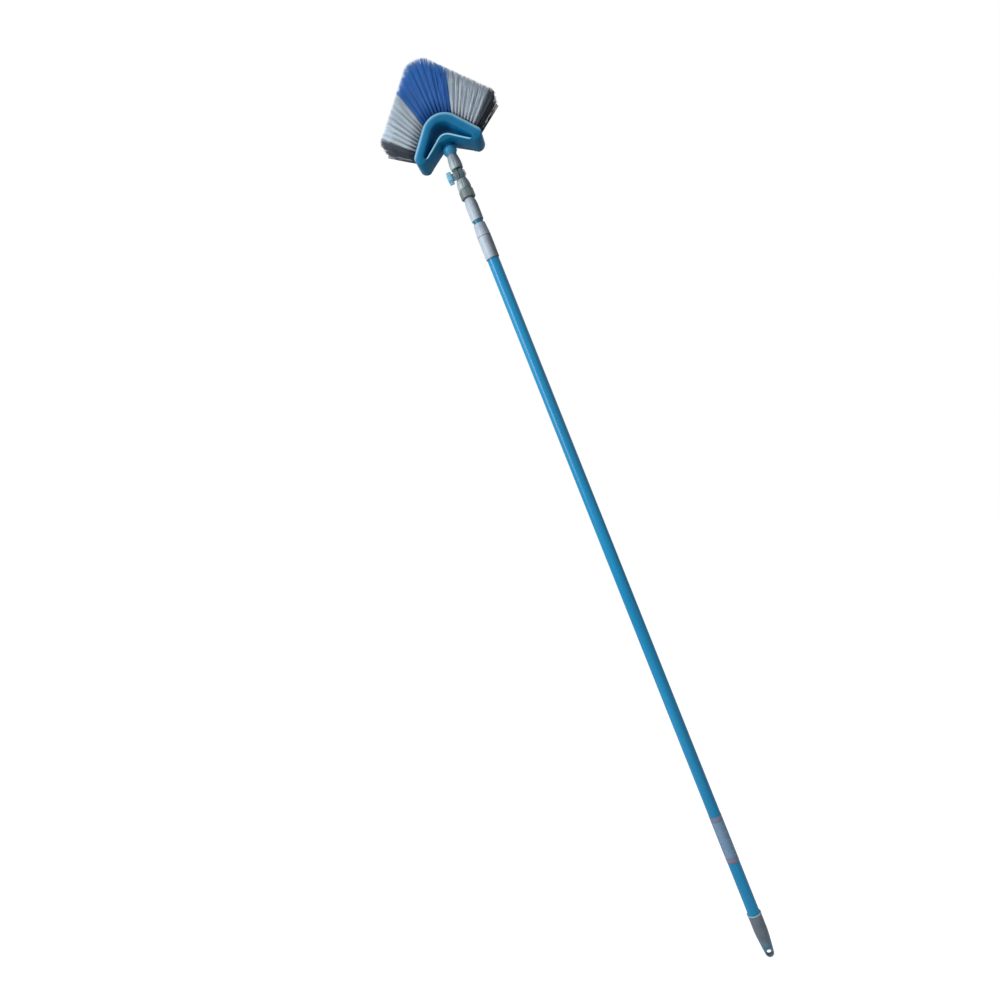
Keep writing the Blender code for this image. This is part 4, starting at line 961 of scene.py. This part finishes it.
def bed_strip(row, points, faces):
    """Adds the closed strip of cells under one row of tufts."""
    runs = row_runs(row)
    lines = cell_lines(runs, LAST_TUFT_RUN + BED_END_MARGIN)
    front, back = ROW_LINES[row], ROW_LINES[row + 1]
    border = {}

    def add(run, deep, depth):
        place = arch_point(run, depth)
        points.append((place[0], deep, place[2]))
        return len(points) - 1

    def border_pair(column, i, j):
        key = (3 * column + i, j)
        if key not in border:
            run = lines[column] + (lines[column + 1] - lines[column]) * i / 3
            deep = front + (back - front) * j / 3
            border[key] = (add(run, deep, 0.0), add(run, deep, BED_THICKNESS))
        return border[key]

    for column, run in enumerate(runs):
        pairs = [border_pair(column, i, j) for i, j in CELL_SIDE]
        rim, floor = [], []
        for i in range(len(CELL_SIDE)):
            turn = 2 * math.pi * (i - 1.5) / len(CELL_SIDE) - math.pi / 2
            side, deep = HOLE_RADIUS * math.cos(turn), HOLE_RADIUS * math.sin(turn)
            rim.append(add(run + side, ROW_PLACES[row] + deep, 0.0))
            floor.append(add(run + side, ROW_PLACES[row] + deep, HOLE_DEPTH))
        for i in range(len(CELL_SIDE)):
            j = (i + 1) % len(CELL_SIDE)
            faces.append((pairs[i][0], pairs[j][0], rim[j], rim[i]))
            faces.append((rim[i], rim[j], floor[j], floor[i]))
        faces.append(tuple(floor))
        faces.append(tuple(under for _, under in reversed(pairs)))
    last = 3 * len(runs)
    edge = [(i, 0) for i in range(last)] + [(last, j) for j in range(3)]
    edge += [(i, 3) for i in range(last, 0, -1)] + [(0, j) for j in range(3, 0, -1)]
    for here, there in zip(edge, edge[1:] + edge[:1]):
        faces.append((border[here][0], border[here][1], border[there][1], border[there][0]))


def drilled_bed():
    points, faces = [], []
    for row in range(TUFT_ROWS):
        bed_strip(row, points, faces)
    bed = mesh_piece("bristle_bed", points, faces, head_finish, smooth=False)
    bed.data.validate()
    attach(bed, "head")
    return bed


bristle_bed = drilled_bed()
print("bed:", len(bristle_bed.data.polygons), "faces")

# %% [markdown]
# ## The bristles
#
# A tuft leaves its hole as a tight round bundle and opens towards its tips, until it meets its neighbours.
# That makes the look of the photograph: dark gaps that start at the block and close half-way up. Hair
# particles could draw it, but then nothing would be left in a file of meshes, so every bristle is a thin
# three-sided strand of its own, with a slight bow. The strands of a tuft are spread like the seeds of a
# sunflower, which fills a circle evenly with any number. Each ends on the roof outline, or a little short
# of it, as no shears cut quite evenly.

# %% Strands of one tuft
STRANDS_PER_TUFT = 44
STRAND_RADIUS = 0.33 * MM
STRAND_STATIONS = (0.0, 0.34, 0.68, 1.0)
STRAND_TAPER = 0.10
STRAND_BOW = 0.9 * MM
# a strand has three sides, so turning it by up to about a third of a circle gives every way it can stand
STRAND_TURN = 2.0
ROOT_SPREAD = 1.85 * MM
TIP_SPREAD_ACROSS = 8.8 * MM
TIP_SPREAD_DEEP = 5.8 * MM
TIP_SCATTER = 0.10
TIP_DEEP_LIMIT = CAD_BOX[1][1] - 1.5 * MM
TRIM_UNEVENNESS = 1.5 * MM
FAN_END = math.radians(49.0)
ROW_FAN = 1.26
TUFT_SWAY = math.radians(0.7)
GOLDEN_ANGLE = math.pi * (3.0 - math.sqrt(5.0))
DEEP = np.array((0.0, 1.0, 0.0))
SPOKES = [2.0 * math.pi * i / 3 for i in range(3)]


def strand(foot, tip, bow, across, turn):
    """The rings of points of one bowed, tapering strand."""
    rings = []
    for share in STRAND_STATIONS:
        middle = foot + (tip - foot) * share + bow * (4.0 * share * (1.0 - share))
        radius = STRAND_RADIUS * (1.0 - STRAND_TAPER * share)
        ways = [math.cos(turn + spoke) * across + math.sin(turn + spoke) * DEEP for spoke in SPOKES]
        rings.append([middle + radius * way for way in ways])
    return rings


def tuft(run, deep_place, dice):
    """The strands of one tuft, each with its place across the tuft, from -1 to 1."""
    lean = FAN_END * run / LAST_TUFT_RUN + dice.gauss(0.0, TUFT_SWAY)
    along = np.array((math.sin(lean), 0.0, math.cos(lean)))
    across = np.array((math.cos(lean), 0.0, -math.sin(lean)))
    root = arch_point(run, HOLE_DEPTH) + DEEP * deep_place
    middle = root + along * trimmed_length(root, along)
    middle[1] = deep_place * ROW_FAN
    phase = dice.uniform(0.0, 2.0 * math.pi)
    strands = []
    for i in range(STRANDS_PER_TUFT):
        out = math.sqrt((i + 0.5) / STRANDS_PER_TUFT)
        turn = phase + i * GOLDEN_ANGLE
        side, deep = out * math.cos(turn), out * math.sin(turn)
        foot = root + ROOT_SPREAD * (side * across + deep * DEEP)
        open_side = TIP_SPREAD_ACROSS * (side + dice.gauss(0.0, TIP_SCATTER))
        open_deep = TIP_SPREAD_DEEP * (deep + dice.gauss(0.0, TIP_SCATTER))
        aim = middle + open_side * across + open_deep * DEEP
        aim[1] = max(-TIP_DEEP_LIMIT, min(TIP_DEEP_LIMIT, aim[1]))
        way = aim - foot
        way /= np.linalg.norm(way)
        tip = foot + way * (trimmed_length(foot, way) - dice.uniform(0.0, TRIM_UNEVENNESS))
        bow = STRAND_BOW * (dice.uniform(-1.0, 1.0) * across + dice.uniform(-1.0, 1.0) * DEEP)
        strands.append((side, strand(foot, tip, bow, across, dice.uniform(0.0, STRAND_TURN))))
    return strands


print("strands in all:", STRANDS_PER_TUFT * TUFT_COUNT)

# %% [markdown]
# ## How much light a strand gets
#
# A real tuft is a few hundred bristles thick, and the light that reaches its flanks, and the rows behind
# it, is weak. With fewer strands that shade would be lost, so each strand keeps a tone, from 0 in the shade
# to 1 in the open: less on a tuft's flanks, less in the inner rows, less in the last blue column before the
# grey, and least in the last column of the fan, which hangs over and is nearly black in the photograph.

# %% Tone of a strand
ROW_TONES = (1.0, 0.66, 0.46, 0.38)
FLANK_LOSS = 0.74
BORDER_TONE = 0.62
HANGING_TONE = 0.08
LAST_COLUMN = 0.9 * TUFT_PITCH


def strand_tone(run, row, side):
    layer = ROW_TONES[min(row, TUFT_ROWS - 1 - row)]
    tone = layer * (1.0 - FLANK_LOSS * side * side)
    if 0.0 < BLUE_HALF_RUN - abs(run) < LAST_COLUMN:
        tone *= BORDER_TONE
    if abs(run) > LAST_TUFT_RUN - LAST_COLUMN:
        tone *= HANGING_TONE
    return tone


print("tone in the open:", strand_tone(0.0, 0, 0.0))
print("tone in the last column:", round(strand_tone(LAST_TUFT_RUN, 3, 0.0), 3))

# %% Packs of tufts
DICE_SEED = 41


def strand_faces(start):
    """The side and end faces of one strand, whose points begin at start."""
    levels = len(STRAND_STATIONS) - 1
    faces = []
    for level in range(levels):
        low = start + 3 * level
        for i in range(3):
            j = (i + 1) % 3
            faces.append((low + i, low + j, low + 3 + j, low + 3 + i))
    top = start + 3 * levels
    return faces + [(top, top + 1, top + 2), (start + 2, start + 1, start)]


def bristle_pack(name, low_run, high_run, finish, node):
    """All tufts between two runs in one piece. Each point keeps its reach, its strand's tint and its tone."""
    dice = random.Random(DICE_SEED + len(name))
    points, faces = [], []
    kept = {"reach": [], "tint": [], "tone": []}
    for row, place in enumerate(ROW_PLACES):
        for run in row_runs(row):
            if not low_run < run < high_run:
                continue
            for side, rings in tuft(run, place, dice):
                tint = dice.random()
                tone = strand_tone(run, row, side)
                faces.extend(strand_faces(len(points)))
                for share, ring in zip(STRAND_STATIONS, rings):
                    points.extend(tuple(point) for point in ring)
                    kept["reach"].extend([share] * 3)
                    kept["tint"].extend([tint] * 3)
                    kept["tone"].extend([tone] * 3)
    piece = mesh_piece(name, points, faces, finish)
    for label, values in kept.items():
        stored = piece.data.attributes.new(label, "FLOAT", "POINT")
        stored.data.foreach_set("value", values)
    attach(piece, "head")
    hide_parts(node)
    print(name, len(faces), "faces")


# %% [markdown]
# ## What bristles are made of
#
# They are drawn plastic threads. Where they are packed close, at the foot, little light gets in and dust
# stays, so they are darker there. The blue ones' cut tips are paler, because the cut scatters light, and
# those of the grey ones a little duller. Between strands the tint differs a little, as the plastic differs
# from batch to batch. In the photograph the grey ones shine almost white along their lit sides.

# %% Bristle finishes
GREY_ROOT = (0.560, 0.650, 0.750)
GREY_SHAFT = (0.760, 0.890, 1.000)
GREY_TIP = (0.690, 0.830, 0.980)
GREY_SHADE = (0.068, 0.082, 0.108)
BLUE_ROOT = (0.020, 0.140, 0.500)
BLUE_SHAFT = (0.055, 0.270, 0.800)
BLUE_TIP = (0.120, 0.360, 0.860)
BLUE_SHADE = (0.018, 0.125, 0.450)
ROOT_REACH = (0.0, 0.35)
TIP_REACH = (0.80, 1.0)
DULL_TINTS = (0.0, 0.6)
DULL_STRENGTH = 0.20
DULL_TONE = 0.5
GLOSS_TONES = (0.05, 0.60)
SHADED_SHINE = 0.12
LIFTED_REACH = (0.60, 1.0)
LIFTED_TONES = (0.05, 0.25)
LIFTED_SHARE = 0.38
THREAD_ROUGHNESS = (0.30, 0.52)
THREAD_PATCH = 0.7 * MM
THREAD_DEPTH = 0.03 * MM
THREAD_STRENGTH = 0.3


def read_value(tree, label):
    """A value that was kept on the strands' points."""
    stored = tree.nodes.new("ShaderNodeAttribute")
    stored.attribute_name = label
    return stored.outputs["Fac"]


def bristle_finish(name, root, shaft, tip, shade, shine):
    """Thread plastic, darker where a strand gets less light. Its tips stand free and keep more of it."""
    made, tree, shader = open_finish(name, shaft, roughness=0.38, shine=shine)
    reach, tint, tone = (read_value(tree, label) for label in ("reach", "tint", "tone"))
    colour = blend_colour(tree, remap(tree, reach, *ROOT_REACH), root, shaft)
    colour = blend_colour(tree, remap(tree, reach, *TIP_REACH), colour, tip)
    dull = combine(tree, "MULTIPLY", fall(tree, tint, *DULL_TINTS), DULL_STRENGTH)
    colour = blend_colour(tree, dull, colour, toned(shaft, DULL_TONE))
    free = remap(tree, tone, *LIFTED_TONES, 0.0, LIFTED_SHARE)
    lifted = combine(tree, "MULTIPLY", remap(tree, reach, *LIFTED_REACH), free)
    shaded = combine(tree, "SUBTRACT", 1.0, tone)
    shaded = combine(tree, "MULTIPLY", shaded, combine(tree, "SUBTRACT", 1.0, lifted))
    tree.links.new(blend_colour(tree, shaded, colour, shade), shader.inputs["Base Color"])
    gloss = remap(tree, tone, *GLOSS_TONES, SHADED_SHINE, shine)
    tree.links.new(gloss, shader.inputs["Specular IOR Level"])
    tree.links.new(remap(tree, tint, 0.0, 1.0, *THREAD_ROUGHNESS), shader.inputs["Roughness"])
    fine_skin(tree, shader, cloud(tree, THREAD_PATCH, detail=2.0), THREAD_DEPTH, THREAD_STRENGTH)
    return made


grey_finish = bristle_finish("bristle_grey_threads", GREY_ROOT, GREY_SHAFT, GREY_TIP, GREY_SHADE, shine=0.95)
blue_finish = bristle_finish("bristle_blue_threads", BLUE_ROOT, BLUE_SHAFT, BLUE_TIP, BLUE_SHADE, shine=0.5)

# %% The three packs
bristle_pack("bristles_grey_left", -1.0, -BLUE_HALF_RUN, grey_finish, "bristles_left")
bristle_pack("bristles_blue", -BLUE_HALF_RUN, BLUE_HALF_RUN, blue_finish, "bristles_centre")
bristle_pack("bristles_grey_right", BLUE_HALF_RUN, 1.0, grey_finish, "bristles_right")
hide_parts("bristles_left", "bristles_centre", "bristles_right")

# %% [markdown]
# ## The film round the pole
#
# Near the foot the photograph has a printed film wrapped round the pole. This brush carries no print, so
# the film is plain: a clear wrap with a lavender cast, a pale empty panel, and a faint stripe near each of
# its two ends. It is a thin closed shell that overlaps itself at the back, with a little slack, so its
# gloss breaks up as real film's does.

# %% Plain film
FILM_FOOT = 0.211
FILM_TOP = 0.312
FILM_MIDDLE = (FILM_FOOT + FILM_TOP) / 2
FILM_RADIUS = 12.62 * MM
FILM_THICKNESS = 0.10 * MM
FILM_OVERLAP = math.radians(24.0)
FILM_LIFT = 2.2 * FILM_THICKNESS
FILM_SLACK = 0.10 * MM
FILM_WAVES = 5
# the slack is a sum of waves: how many go round the pole, how fast they turn along it, and where they start
WAVES_ROUND = (2, 7)
WAVES_ALONG = (20.0, 90.0)
WAVE_PHASES = (0.0, 6.0)
FILM_STEPS = 72
FILM_LEVELS = 24
FILM_TINT = (0.17, 0.31, 0.52)
FILM_OPACITY = 0.62
FILM_ROUGHNESS = (0.14, 0.34)
FILM_GLOSS_PATCH = 12 * MM
CRINKLE_PATCH = 6 * MM
CRINKLE_DEPTH = 0.10 * MM
CRINKLE_STRENGTH = 0.4
PANEL_TINT = (0.27, 0.44, 0.62)
PANEL_TURN = (0.95, 1.05)
PANEL_HALF_HEIGHT = (38 * MM, 39 * MM)
PANEL_STRENGTH = 0.8
STRIPE_TINT = (0.36, 0.28, 0.40)
STRIPE_INSET = 5 * MM
FOOT_STRIPE_REACH = 6 * MM
TOP_STRIPE_REACH = 4 * MM


def film_finish():
    made, tree, shader = open_finish("film_plain", FILM_TINT, roughness=0.22)
    shader.inputs["Alpha"].default_value = FILM_OPACITY
    z = axis_value(tree, HEIGHT)
    towards_front = combine(tree, "MULTIPLY", axis_value(tree, DEPTH), -1.0)
    turn = combine(tree, "ABSOLUTE", combine(tree, "ARCTAN2", axis_value(tree, WIDTH), towards_front))
    away = combine(tree, "ABSOLUTE", combine(tree, "SUBTRACT", z, FILM_MIDDLE))
    panel = combine(tree, "MULTIPLY", fall(tree, turn, *PANEL_TURN), fall(tree, away, *PANEL_HALF_HEIGHT))
    colour = blend_colour(tree, combine(tree, "MULTIPLY", panel, PANEL_STRENGTH), FILM_TINT, PANEL_TINT)
    foot_stripe = band(tree, z, FILM_FOOT + STRIPE_INSET, FOOT_STRIPE_REACH)
    top_stripe = band(tree, z, FILM_TOP - STRIPE_INSET, TOP_STRIPE_REACH)
    stripes = combine(tree, "MAXIMUM", foot_stripe, top_stripe)
    tree.links.new(blend_colour(tree, stripes, colour, STRIPE_TINT), shader.inputs["Base Color"])
    gloss = remap(tree, cloud(tree, FILM_GLOSS_PATCH), *NOISE_SPAN, *FILM_ROUGHNESS)
    tree.links.new(gloss, shader.inputs["Roughness"])
    fine_skin(tree, shader, cloud(tree, CRINKLE_PATCH), CRINKLE_DEPTH, CRINKLE_STRENGTH)
    return made


def film_points():
    """The film's points, level by level, each step with its inner and its outer point."""
    dice = random.Random(DICE_SEED)
    waves, points = [], []
    for _ in range(FILM_WAVES):
        waves.append((dice.randint(*WAVES_ROUND), dice.uniform(*WAVES_ALONG), dice.uniform(*WAVE_PHASES)))
    for level in range(FILM_LEVELS + 1):
        z = FILM_FOOT + (FILM_TOP - FILM_FOOT) * level / FILM_LEVELS
        for step in range(FILM_STEPS + 1):
            share = step / FILM_STEPS
            turn = math.pi / 2 + (2.0 * math.pi + FILM_OVERLAP) * share
            slack = sum(math.sin(k * turn + f * z + p) for k, f, p in waves) / FILM_WAVES
            lift = FILM_LIFT * max(0.0, share - 0.5) / 0.5
            inner = FILM_RADIUS + lift + FILM_SLACK * (1.0 + slack) / 2
            for radius in (inner, inner + FILM_THICKNESS):
                points.append((radius * math.cos(turn), radius * math.sin(turn), z))
    return points


def film_faces():
    """The film's outside and inside, its two long rims and its two ends."""
    row = 2 * (FILM_STEPS + 1)
    faces = []
    for level in range(FILM_LEVELS):
        for step in range(FILM_STEPS):
            here = level * row + 2 * step
            faces.append((here + 1, here + 3, here + row + 3, here + row + 1))
            faces.append((here, here + row, here + row + 2, here + 2))
        start, end = level * row, level * row + 2 * FILM_STEPS
        faces.append((start, start + 1, start + row + 1, start + row))
        faces.append((end, end + row, end + row + 1, end + 1))
    for step in range(FILM_STEPS):
        foot, top = 2 * step, FILM_LEVELS * row + 2 * step
        faces.append((foot, foot + 2, foot + 3, foot + 1))
        faces.append((top, top + 1, top + 3, top + 2))
    return faces


pole_film = mesh_piece("pole_film", film_points(), film_faces(), film_finish())
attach(pole_film, "handle")
print("film:", round((FILM_TOP - FILM_FOOT) / MM), "mm high,", len(pole_film.data.polygons), "faces")
